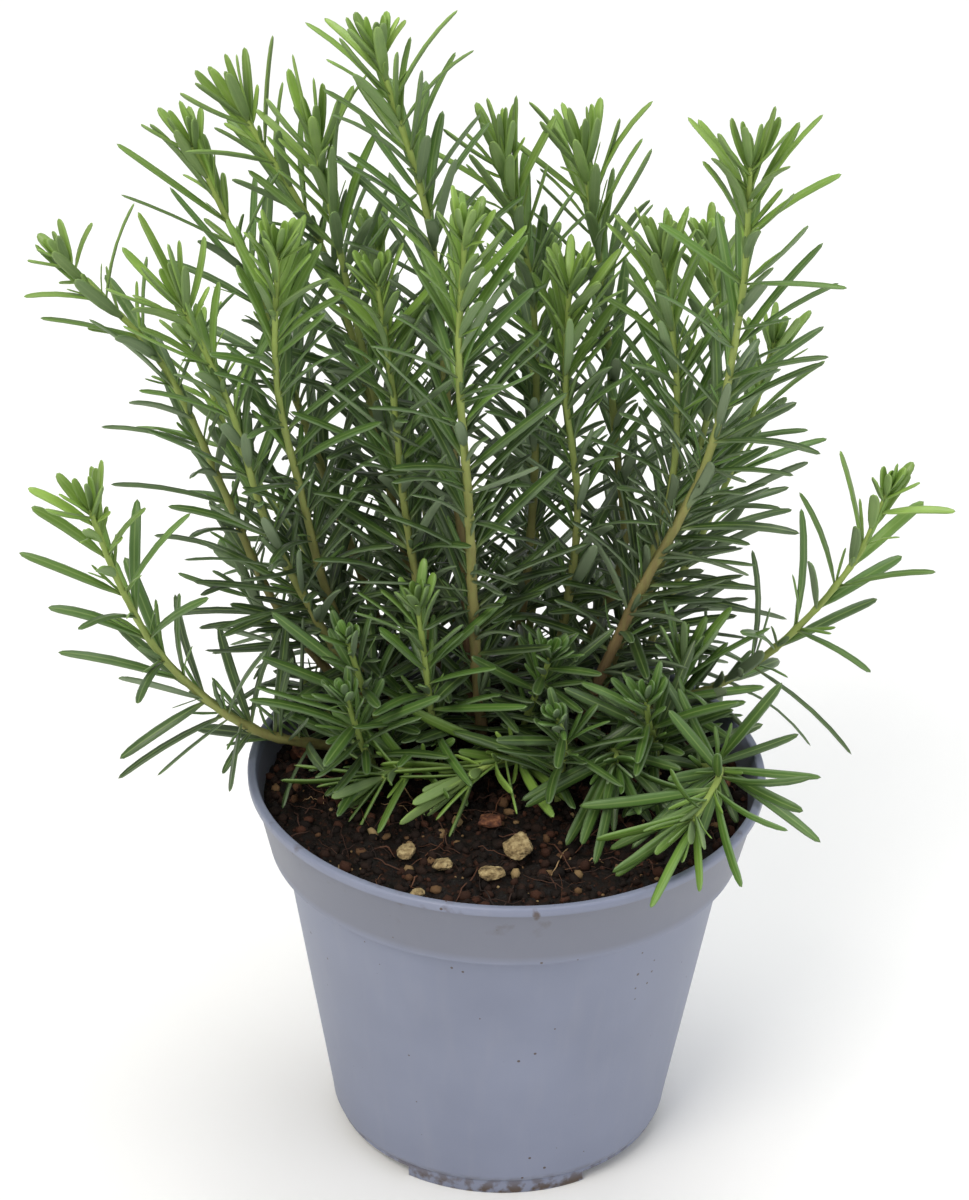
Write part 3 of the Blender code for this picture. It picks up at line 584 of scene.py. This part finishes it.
def fibre_mesh():
    """Coir, bark shreds and fine roots that lie over the crumbs."""
    dice = random.Random(23)
    bm = bmesh.new()
    tone = bm.verts.layers.float.new("fibre_tone")
    for _ in range(FIBRES):
        x, y = random_place(dice, SOIL_EDGE - 6.0)
        heading = dice.uniform(0, math.tau)
        length = dice.uniform(4, 20)
        thick = dice.choice(FIBRE_RADII)
        shade = 0.85 * dice.random() if dice.random() < BROWN_SHARE else 1.0
        points, radii = [], []
        for step in range(FIBRE_STEPS):
            if math.hypot(x, y) > SOIL_EDGE - 1.0:
                heading += math.pi
            arch = math.sin(math.pi * step / (FIBRE_STEPS - 1))
            rise = 0.5 + thick + 1.3 * arch * dice.uniform(0.3, 1.0)
            points.append(Vector((x, y, soil_level(x, y) + rise)) * MM)
            heading += dice.uniform(-0.35, 0.35)
            x += length / FIBRE_STEPS * math.cos(heading)
            y += length / FIBRE_STEPS * math.sin(heading)
            swell = math.sin(math.pi * (step + 0.6) / (FIBRE_STEPS + 0.2))
            radii.append(thick * MM * (0.45 + 0.55 * swell))
        sweep(bm, points, radii, 5, tone, shade)
    bmesh.ops.recalc_face_normals(bm, faces=bm.faces)
    return bm


def fibre_finish():
    """Plant fibre: red-brown coir and bark, with a few straw-coloured roots."""
    material, tree, shader = start_material("coir_and_bark_fibre")
    tone = add_node(tree, "Attribute", {"attribute_name": "fibre_tone"})
    colour = add_node(
        tree, "ValToRGB",
        {"stops": [
            (0.0, srgb("#1d110a")), (0.45, srgb("#3b2012")), (0.8, srgb("#5f3a24")),
            (1.0, srgb("#a3865f")),
        ]},
        {"Fac": tone.outputs["Fac"]},
    )
    tree.links.new(colour.outputs[0], shader.inputs["Base Color"])
    shader.inputs["Roughness"].default_value = 0.75
    return material


for shape, name, finish in (
    (soil_mesh(), "peat_filling", peat()),
    (crumb_mesh(), "peat_crumbs", crumb_finish()),
    (fibre_mesh(), "soil_fibres", fibre_finish()),
):
    finish_piece(shape, name, finish, "potting_soil", angle=None)


# ---- Loose chips ----------------------------------------------------------------------------
# Tan pumice and red-brown bark chips that were mixed into the potting soil and came to the top.
# Each is broken and weathered, pitted all over, and lies where the frame has its plain chip.

def chip_mesh(node, planes, pit, seed):
    """A broken, weathered chip that fills its CAD chip's box: a ball cut flat by planes."""
    low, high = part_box(node)
    middle, half = (low + high) / 2, (high - low) / 2
    dice = random.Random(seed)
    up = Vector((0, 0, 1))
    cuts = [(random_turn(dice) @ up, dice.uniform(0.66, 0.92)) for _ in range(planes)]
    offset = Vector((seed * 3.1, seed * 1.7, seed * 2.3))
    bm = bmesh.new()
    bmesh.ops.create_icosphere(bm, subdivisions=5, radius=1.0)
    for corner in bm.verts:
        way = corner.co.normalized()
        faced = [depth / way.dot(face) for face, depth in cuts if way.dot(face) > 0.05]
        reach = min([1.05] + faced)
        broad = noise.noise(way * 1.6 + offset) * 0.10
        pits = -max(0.0, noise.noise(way * pit - offset)) * 0.14
        grain = noise.noise(way * 11.0 + offset) * 0.025
        corner.co = way * (reach + broad + pits + grain)
    bmesh.ops.scale(bm, vec=half, verts=bm.verts)
    bmesh.ops.translate(bm, vec=middle, verts=bm.verts)
    return bm


def chip_finish(name, dark, middle, pale, grain):
    """A mineral or bark chip: mottled, dull, darker in its pits, rough to the touch."""
    material, tree, shader = start_material(name)
    place = add_node(tree, "TexCoord").outputs["Object"]
    mottle = add_node(
        tree, "TexNoise", {"Scale": 1 / (grain * MM), "Detail": 5.0, "Roughness": 0.6},
        {"Vector": place},
    )
    colour = add_node(
        tree, "ValToRGB", {"stops": [(0.33, srgb(dark)), (0.5, srgb(middle)), (0.66, srgb(pale))]},
        {"Fac": mottle},
    )
    tree.links.new(colour.outputs[0], shader.inputs["Base Color"])
    shader.inputs["Roughness"].default_value = 0.88
    bump = add_node(tree, "Bump", {"Strength": 0.6, "Distance": 0.3 * MM}, {"Height": mottle})
    tree.links.new(bump.outputs[0], shader.inputs["Normal"])
    return material


# Pumice is broken into more faces than bark is, and its pits are smaller.
CHIP_KINDS = {
    "pumice": (chip_finish("weathered_pumice", "#43341f", "#8a7650", "#b7a478", 1.8), 14, 5.0),
    "bark": (chip_finish("composted_bark", "#2a140c", "#5c3421", "#8a5c3c", 1.4), 9, 3.0),
}
for number, node in enumerate(sorted(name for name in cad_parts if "_chip_" in name)):
    kind = node.split("_chip_")[0]
    finish, planes, pit = CHIP_KINDS[kind]
    shape = chip_mesh(node, planes, pit, number + 1)
    finish_piece(shape, node + "_weathered", finish, node)


# ---- Shoots ---------------------------------------------------------------------------------
# Rosemary shoots: square stems, green and downy when young and brown and woody at the foot. The
# leaves stand in crossed pairs, with tufts of young ones in their axils and a bud at the tip.

LEAF_HALF = 1.55
SMALL_LEAF_HALF = 0.85
PAIR_SPACING = 6.2
BARE_FOOT, BARE_TIP = 12.5, 5.0
# Lengths back from the tip over which a leaf turns dark, reaches full size, and a stem turns brown.
LEAF_AGES, LEAF_GROWS, STEM_AGES = 110.0, 35.0, 175.0
BUD_LEVELS = 4
LEAF_TRIES = 6
STEM_SIDES = 12
CELL = 2.0
# A leaf's section (place across, height, underside) and its outline (place along, half width).
RING = [
    (-1.00, -0.10, 0.5), (-0.60, 0.20, 0.0), (0.00, 0.05, 0.0), (0.60, 0.20, 0.0),
    (1.00, -0.10, 0.5), (0.60, -0.30, 1.0), (0.00, -0.17, 1.0), (-0.60, -0.30, 1.0),
]
STATIONS = [
    (0.0, 0.34), (0.05, 0.42), (0.16, 0.74), (0.34, 0.96), (0.54, 1.0), (0.74, 0.95),
    (0.88, 0.80), (0.965, 0.50),
]
SMALL_RING = [RING[i] for i in (0, 1, 3, 4, 6)]
SMALL_STATIONS = [STATIONS[i] for i in (0, 2, 4, 6, 7)]
# Painted shade: how much darker the short sprigs' leaves are painted, as most stand in the bush's
# shade.
PAINTED_SHADE = {
    "sprig_middle_right": 0.55, "sprig_middle": 0.6, "sprig_middle_left": 0.45, "sprig_centre_low": 0.6,
    "sprig_left_middle": 0.4, "sprig_right_middle": 0.5, "sprig_right": 0.3, "sprig_left_rear": 0.5,
    "sprig_centre": 0.15, "sprig_front_left": 0.15, "sprig_front_right": 0.22,
}
taken = set()


def centre_of(corners):
    """The mean place of some corners."""
    return sum((corner.co for corner in corners), Vector()) / len(corners)


def read_shoot(node):
    """The frame's plain shoot: its stem's rings from foot to tip, and each leaf's three places."""
    bm = bmesh.new()
    bm.from_mesh(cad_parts[node].data)
    bmesh.ops.remove_doubles(bm, verts=bm.verts, dist=2e-6)
    leaves, spent = [], set()
    for tip in bm.verts:
        ring = [edge.other_vert(tip) for edge in tip.link_edges]
        spread = max((a.co - b.co).length for a in ring for b in ring)
        reach = min((corner.co - tip.co).length for corner in ring)
        near = {edge.other_vert(corner) for corner in ring for edge in corner.link_edges}
        base = near - set(ring) - {tip}
        if len(ring) not in (3, 4) or len(base) != 4 or spread > 3.6 * MM or reach < 2.4 * MM:
            continue
        spent |= set(ring) | {tip}
        leaves.append((centre_of(base), centre_of(ring), tip.co.copy()))
    stem = [corner for corner in bm.verts if corner not in spent]
    layer = set(sorted(stem, key=lambda corner: corner.co.z)[:4])
    seen, rings = set(), []
    while layer:
        seen |= layer
        middle = centre_of(layer)
        half = sum((corner.co - middle).length for corner in layer) / len(layer) / math.sqrt(2)
        rings.append((middle, half))
        reached = {edge.other_vert(corner) for corner in layer for edge in corner.link_edges}
        layer = {corner for corner in reached - seen if corner not in spent}
    bm.free()
    return rings, leaves


def stem_route(rings):
    """Gives place, half width and direction at a length along the stem, and its whole length."""
    lengths = [0.0]
    for (a, _), (b, _) in zip(rings, rings[1:]):
        lengths.append(lengths[-1] + (b - a).length)

    def at(along):
        along = min(max(along, 0.0), lengths[-1])
        index = next(i for i in range(1, len(lengths)) if along <= lengths[i] + 1e-9)
        share = (along - lengths[index - 1]) / max(1e-9, lengths[index] - lengths[index - 1])
        a, b = rings[index - 1], rings[index]
        return a[0].lerp(b[0], share), a[1] + (b[1] - a[1]) * share, (b[0] - a[0]).normalized()

    return at, lengths[-1]


def nearest_along(at, length, place):
    """The length along the stem that is closest to a place."""
    steps = 120
    lengths = [length * i / steps for i in range(steps + 1)]
    return min(lengths, key=lambda along: (at(along)[0] - place).length)


def bezier(a, b, c, t):
    """A place on the curve from a to c that leans towards b."""
    return a * (1 - t) ** 2 + b * (2 * t * (1 - t)) + c * t ** 2


def cells_of(points):
    """The small cubes of space that the points lie in."""
    return {tuple(round(value / (CELL * MM)) for value in point) for point in points}


def leaf_points(base, control, tip):
    """Places along a leaf, from where it is clear of its stem to its tip."""
    first = 0.3
    count = max(4, int((tip - base).length / (1.2 * MM)))
    return [bezier(base, control, tip, first + (1 - first) * i / count) for i in range(count + 1)]


def clear_of_pot(point):
    """Whether a place is above the soil and not in the pot's wall."""
    radius, height = math.hypot(point.x, point.y) / MM, point.z / MM
    if height > POT_HEIGHT + 1.5 or radius > POT_RIM + 2.0:
        return True
    return radius < COLLAR_BOTTOM - 2.0 and height > soil_level(point.x / MM, point.y / MM) + 1.6


def master_leaf(ring, stations):
    """One leaf as a closed mesh of rings, which each real leaf's copy is bent from."""
    bm = bmesh.new()
    points = [Vector((share, 0, 0)) for share, _ in stations]
    rings = sweep(bm, points, [1.0] * len(stations), len(ring))
    order = {corner: index for index, corner in enumerate(c for r in rings for c in r)}
    end = next(face for face in bm.faces if set(face.verts) == set(rings[-1]))
    bmesh.ops.poke(bm, faces=[end])
    bm.verts.sort(key=lambda corner: order.get(corner, len(order)))
    bmesh.ops.recalc_face_normals(bm, faces=bm.faces)
    mesh = bpy.data.meshes.new("leaf_master")
    bm.to_mesh(mesh)
    bm.free()
    return mesh


def put_leaf(bm, layers, base, control, tip, half, above, tone, small=False):
    """Bends a copy of the master leaf along base, control and tip, with its upper side towards
    'above'. Its tone is its age, with any painted shade added, and its place in the range of lightness."""
    ring, stations = (SMALL_RING, SMALL_STATIONS) if small else (RING, STATIONS)
    before = len(bm.verts)
    bm.from_mesh(SMALL_LEAF if small else FULL_LEAF)
    bm.verts.ensure_lookup_table()
    fresh = bm.verts[before:]
    side, sort, under = layers
    index = 0
    for share, width in stations:
        point = bezier(base, control, tip, share)
        ahead = ((control - base) * (1 - share) + (tip - control) * share).normalized()
        across = ahead.cross(above).normalized()
        upper = across.cross(ahead)
        for left, lift, below in ring:
            corner = fresh[index]
            rise = lift * half * min(1.0, width + 0.2)
            corner.co = point + across * (left * half * width) + upper * rise
            corner[side] = left
            corner[sort] = (tone[0], tone[1], share)
            corner[under] = below
            index += 1
    fresh[index].co = tip
    fresh[index][sort] = (tone[0], tone[1], 1.0)
    fresh[index][under] = 0.3


def grow_stem(node, rings, leaves):
    """The stem as one strand, a little swollen where leaves join, tapering to the bud."""
    at, length = stem_route(rings)
    joints = [nearest_along(at, length, base) for base, _, _ in leaves]
    bm = bmesh.new()
    age = bm.verts.layers.float.new("stem_age")
    count = max(8, int(length / (2.2 * MM)))
    points, radii, places = [], [], []
    for index in range(count + 1):
        along = length * index / count
        point = sum((at(along + shift * MM)[0] for shift in (-3, 0, 3)), Vector()) / 3
        half = at(along)[1]
        bulges = [math.exp(-((along - joint) / (1.3 * MM)) ** 2) for joint in joints]
        swell = max(bulges, default=0)
        wobble = 1 + 0.06 * noise.noise(point / (3 * MM))
        points.append(point)
        radii.append(half * 0.84 * wobble * (1 + 0.22 * swell) * (1 if index < count else 0.3))
        places.append(along)
    made = sweep(bm, points, radii, STEM_SIDES)
    # The stem is square: its four edges stand out a little from its round section.
    for ring, point, along in zip(made, points, places):
        for step, corner in enumerate(ring):
            corner[age] = min(1.0, (length - along) / MM / STEM_AGES)
            edge = 1 + 0.07 * math.cos(4 * math.tau * step / STEM_SIDES)
            corner.co = point + (corner.co - point) * edge
    bmesh.ops.recalc_face_normals(bm, faces=bm.faces)
    finish_piece(bm, node + "_stem", STEM_FINISH, node, angle=None)


def frame_leaf(bm, layers, at, length, leaf, shade, dice):
    """A leaf that stands just where the frame has its plain one."""
    base, middle, tip = leaf
    along = nearest_along(at, length, base)
    centre, half, ahead = at(along)
    # This age has the sprig's painted shade added, so the leaf and its axil's tuft are painted darker.
    age = min(1.0, (length - along) / MM / LEAF_AGES + shade)
    span = tip - base
    size = min(1.0, span.length / (24 * MM))
    share = 0.45
    control = (middle - base * (1 - share) ** 2 - tip * share ** 2) / (2 * share * (1 - share))
    outward = base - centre
    outward = (outward - ahead * outward.dot(ahead)).normalized()
    foot = centre + outward * half * 0.55 + ahead * (base - centre).dot(ahead)
    way = span.normalized()
    roll = Matrix.Rotation(dice.uniform(-0.35, 0.35), 3, way)
    above = roll @ (ahead - way * ahead.dot(way)).normalized()
    bow = dice.uniform(-0.02, 0.07) * span.length
    swing = dice.uniform(-0.05, 0.05) * span.length
    control += above * bow + outward.cross(ahead) * swing
    width = LEAF_HALF * MM * (0.66 + 0.34 * size) * dice.uniform(0.88, 1.08)
    put_leaf(bm, layers, foot, control, tip, width, above, (age, dice.random()))
    return foot, ahead, outward, age


def past_tip(rings, leaves):
    """A test for places that lie higher or further along than the shoot's outermost leaf."""
    end = rings[-1][0]
    heading = (end - rings[-3][0]).normalized()
    limit = max((tip - end).dot(heading) for _, _, tip in leaves)
    top = max(tip.z for _, _, tip in leaves) - 3 * MM

    def beyond(place):
        return place.z > top or (place - end).dot(heading) > limit

    return beyond


def free_leaf(bm, layers, foot, ahead, outward, lengths, leans, tone, dice, beyond, small=False):
    """A leaf of a size and lean within the given ranges, if there is a free space for one."""
    for _ in range(LEAF_TRIES):
        length = dice.uniform(*lengths) * MM
        lean = math.radians(dice.uniform(*leans))
        across = ahead.cross(outward)
        aside = (outward + across * dice.uniform(-0.45, 0.45)).normalized()
        way = ahead * math.cos(lean) + aside * math.sin(lean)
        tip = foot + way * length
        above = (ahead - way * ahead.dot(way)).normalized()
        above = Matrix.Rotation(dice.uniform(-0.6, 0.6), 3, way) @ above
        control = foot.lerp(tip, 0.5) + above * length * dice.uniform(-0.05, 0.17)
        points = leaf_points(foot, control, tip)
        cells = cells_of(points)
        if beyond(tip) or cells & taken or not all(clear_of_pot(point) for point in points):
            continue
        taken.update(cells)
        half = (SMALL_LEAF_HALF if small else LEAF_HALF) * MM * dice.uniform(0.82, 1.05)
        half *= 0.75 + 0.25 * length / (lengths[1] * MM)
        put_leaf(bm, layers, foot, control, tip, half, above, tone, small)
        return


def grow_tuft(bm, layers, foot, ahead, outward, age, dice, beyond):
    """A few young leaves that push out of the axil above a grown leaf."""
    for _ in range(dice.choice((1, 2, 3, 3))):
        start = foot + ahead * dice.uniform(0.4, 1.4) * MM
        longest = 12 + 5 * age
        free_leaf(
            bm, layers, start, ahead, outward, (6, longest), (12, 50), (age * 0.55, dice.random()),
            dice, beyond, small=True,
        )


def grow_pairs(bm, layers, at, length, shade, dice, beyond):
    """Crossed pairs of leaves all along the stem, wherever there is still room."""
    along, turn = BARE_FOOT * MM, dice.uniform(0, math.tau)
    while along < length - BARE_TIP * MM:
        centre, half, ahead = at(along)
        from_tip = (length - along) / MM
        age = min(1.0, from_tip / LEAF_AGES)
        # The tone adds the sprig's painted shade to the leaf's age.
        tone = min(1.0, age + shade)
        grown = min(1.0, from_tip / LEAF_GROWS)
        # Leaves are denser and spread wider low in the bush, and thin out on its outer shoots.
        low = min(1.0, max(0.0, 1 - (centre.z / MM - POT_HEIGHT) / 36.0))
        outer = (math.hypot(centre.x, centre.y) / MM - 45.0) / 40.0
        for flip in (0, math.pi):
            spin = Matrix.Rotation(turn + flip + dice.uniform(-0.3, 0.3), 3, ahead)
            outward = spin @ ahead.orthogonal().normalized()
            if dice.random() < outer:
                continue
            foot = centre + outward * half * 0.5
            leans = (22 + 14 * age + 30 * low, 42 + 32 * age + 34 * low)
            free_leaf(
                bm, layers, foot, ahead, outward, (17 + 5 * grown, 26 + 8 * grown), leans,
                (tone, dice.random()), dice, beyond,
            )
        spacing = PAIR_SPACING * (1 - 0.5 * low) * (0.55 + 0.45 * grown)
        along += spacing * dice.uniform(0.8, 1.25) * MM
        turn += math.pi / 2


def grow_bud(bm, layers, rings, shade, dice, beyond):
    """The shoot's growing tip: small pale leaves folded round each other."""
    tip, before = rings[-1][0], rings[-3][0]
    ahead = (tip - before).normalized()
    side = ahead.orthogonal().normalized()
    for level in range(BUD_LEVELS):
        for turn in (0, math.pi):
            spin = turn + level * math.pi / 2 + dice.uniform(-0.3, 0.3)
            outward = Matrix.Rotation(spin, 3, ahead) @ side
            lean = math.radians(34 - 7 * level + dice.uniform(-5, 7))
            length = (23.0 - 3.4 * level) * dice.uniform(0.8, 1.1) * MM
            way = ahead * math.cos(lean) + outward * math.sin(lean)
            foot = tip - ahead * (4.0 - level) * MM + outward * 0.25 * MM
            while length > 5 * MM and beyond(foot + way * length):
                length *= 0.92
            end = foot + way * length
            above = (ahead - way * ahead.dot(way)).normalized()
            control = foot.lerp(end, 0.5) + outward * length * dice.uniform(-0.04, 0.1)
            half = (1.6 - 0.15 * level) * MM
            # Half the sprig's painted shade darkens the bud's leaves.
            tone = (0.12 + shade * 0.5, dice.random())
            put_leaf(bm, layers, foot, control, end, half, above, tone)


def grow_leaves(node, rings, leaves, dice):
    """Every leaf of one shoot: the frame's leaves, the tufts, the pairs between and the bud."""
    at, length = stem_route(rings)
    bm = bmesh.new()
    side = bm.verts.layers.float.new("leaf_side")
    sort = bm.verts.layers.float_vector.new("leaf_sort")
    under = bm.verts.layers.float.new("leaf_under")
    layers = (side, sort, under)
    beyond = past_tip(rings, leaves)
    shade = PAINTED_SHADE.get(node, 0.0)
    axils = [frame_leaf(bm, layers, at, length, leaf, shade, dice) for leaf in leaves]
    grow_pairs(bm, layers, at, length, shade, dice, beyond)
    for foot, ahead, outward, age in axils:
        grow_tuft(bm, layers, foot, ahead, outward, age, dice, beyond)
    grow_bud(bm, layers, rings, shade, dice, beyond)
    finish_piece(bm, node + "_leaves", LEAF_FINISH, node, angle=None)


def leaf_finish():
    """A leathery leaf: yellow-green when young, then deep green with a satin top and a paler
    midrib line, and grey-green felt beneath its rolled edges."""
    material, tree, shader = start_material("rosemary_leaf")
    place = add_node(tree, "TexCoord").outputs["Object"]
    sort = add_node(tree, "Attribute", {"attribute_name": "leaf_sort"})
    under = add_node(tree, "Attribute", {"attribute_name": "leaf_under"})
    side = add_node(tree, "Attribute", {"attribute_name": "leaf_side"})
    parts = add_node(tree, "SeparateXYZ", links={0: sort.outputs["Vector"]})

    # The ramp runs on the leaf's age, with the sprigs' painted shade added.
    upper = add_node(
        tree, "ValToRGB",
        {"stops": [
            (0.0, srgb("#8fae4e")), (0.14, srgb("#78993f")), (0.36, srgb("#527530")),
            (0.7, srgb("#3a5521")), (1.0, srgb("#2d421c")),
        ]},
        {"Fac": parts.outputs["X"]},
    )
    lot = add_node(tree, "MapRange", {"To Min": 0.74, "To Max": 1.22}, {"Value": parts.outputs["Y"]})
    varied = add_node(tree, "HueSaturation", links={"Value": lot, "Color": upper})
    patch = add_node(tree, "TexNoise", {"Scale": 1 / (6 * MM), "Detail": 3.0}, {"Vector": place})
    patch_share = add_node(
        tree, "MapRange", {"From Min": 0.45, "From Max": 0.75, "To Max": 0.45}, {"Value": patch}
    )
    patched = add_node(
        tree, "Mix", {"data_type": "RGBA", "B": srgb("#5c7c3a")}, {"Factor": patch_share, "A": varied}
    )
    away = add_node(tree, "Math", {"operation": "ABSOLUTE"}, {0: side.outputs["Fac"]})
    midrib = add_node(
        tree, "MapRange", {"From Min": 0.16, "From Max": 0.03, "To Max": 0.45}, {"Value": away}
    )
    ribbed = add_node(
        tree, "Mix", {"data_type": "RGBA", "B": srgb("#8ea55e")},
        {"Factor": midrib, "A": patched.outputs["Result"]},
    )
    downy = add_node(
        tree, "MapRange", {"From Max": 0.6, "To Min": 0.3, "To Max": 1.0}, {"Value": parts.outputs["X"]}
    )
    felt_share = add_node(tree, "Math", {"operation": "MULTIPLY"}, {0: under.outputs["Fac"], 1: downy})
    felt = add_node(
        tree, "Mix", {"data_type": "RGBA", "B": srgb("#7f9070")},
        {"Factor": felt_share, "A": ribbed.outputs["Result"]},
    )
    foot = add_node(
        tree, "MapRange", {"From Min": 0.14, "From Max": 0.0, "To Max": 0.55},
        {"Value": parts.outputs["Z"]},
    )
    whole = add_node(
        tree, "Mix", {"data_type": "RGBA", "B": srgb("#97a86a")},
        {"Factor": foot, "A": felt.outputs["Result"]},
    )
    tree.links.new(whole.outputs["Result"], shader.inputs["Base Color"])
    dull = add_node(tree, "MapRange", {"To Min": 0.40, "To Max": 0.85}, {"Value": under.outputs["Fac"]})
    tree.links.new(dull.outputs[0], shader.inputs["Roughness"])
    grain = add_node(tree, "TexNoise", {"Scale": 1 / (0.45 * MM), "Detail": 2.0}, {"Vector": place})
    bump = add_node(tree, "Bump", {"Strength": 0.25, "Distance": 0.12 * MM}, {"Height": grain})
    tree.links.new(bump.outputs[0], shader.inputs["Normal"])
    return material


def stem_finish():
    """Young stem: green and finely downy. Towards the foot it turns to thin, stringy brown bark."""
    material, tree, shader = start_material("rosemary_stem")
    place = add_node(tree, "TexCoord").outputs["Object"]
    age = add_node(tree, "Attribute", {"attribute_name": "stem_age"})
    strings = add_node(tree, "Mapping", {"Scale": (1.0, 1.0, 0.15)}, {"Vector": place})
    bark = add_node(tree, "TexNoise", {"Scale": 1 / (0.9 * MM), "Detail": 5.0}, {"Vector": strings})
    shift = add_node(tree, "MapRange", {"To Min": -0.18, "To Max": 0.18}, {"Value": bark})
    mixed = add_node(tree, "Math", {"operation": "ADD"}, {0: age.outputs["Fac"], 1: shift})
    colour = add_node(
        tree, "ValToRGB",
        {"stops": [
            (0.0, srgb("#98ae58")), (0.3, srgb("#92a156")), (0.6, srgb("#8d8950")),
            (0.85, srgb("#7d6845")), (1.0, srgb("#5d4630")),
        ]},
        {"Fac": mixed},
    )
    tree.links.new(colour.outputs[0], shader.inputs["Base Color"])
    shader.inputs["Roughness"].default_value = 0.7
    bump = add_node(tree, "Bump", {"Strength": 0.5, "Distance": 0.2 * MM}, {"Height": bark})
    tree.links.new(bump.outputs[0], shader.inputs["Normal"])
    return material


FULL_LEAF = master_leaf(RING, STATIONS)
SMALL_LEAF = master_leaf(SMALL_RING, SMALL_STATIONS)
LEAF_FINISH = leaf_finish()
STEM_FINISH = stem_finish()
shoot_names = sorted(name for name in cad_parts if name.startswith(("shoot_", "sprig_")))
shoots = {name: read_shoot(name) for name in shoot_names}
# The space that the frame's stems and leaves hold is taken before any leaf is added.
for rings, leaves in shoots.values():
    at, length = stem_route(rings)
    for step in range(int(length / MM) + 1):
        middle, half, ahead = at(step * MM)
        across = ahead.orthogonal().normalized() * half
        over = ahead.cross(across)
        edges = [middle + across, middle - across, middle + over, middle - over]
        taken |= cells_of([middle, *edges])
    for base, middle, tip in leaves:
        taken |= cells_of(leaf_points(base, base.lerp(tip, 0.5).lerp(middle, 0.5), tip))
for number, (node, (rings, leaves)) in enumerate(shoots.items()):
    grow_stem(node, rings, leaves)
    grow_leaves(node, rings, leaves, random.Random(100 + number))
for master in (FULL_LEAF, SMALL_LEAF):
    bpy.data.meshes.remove(master)
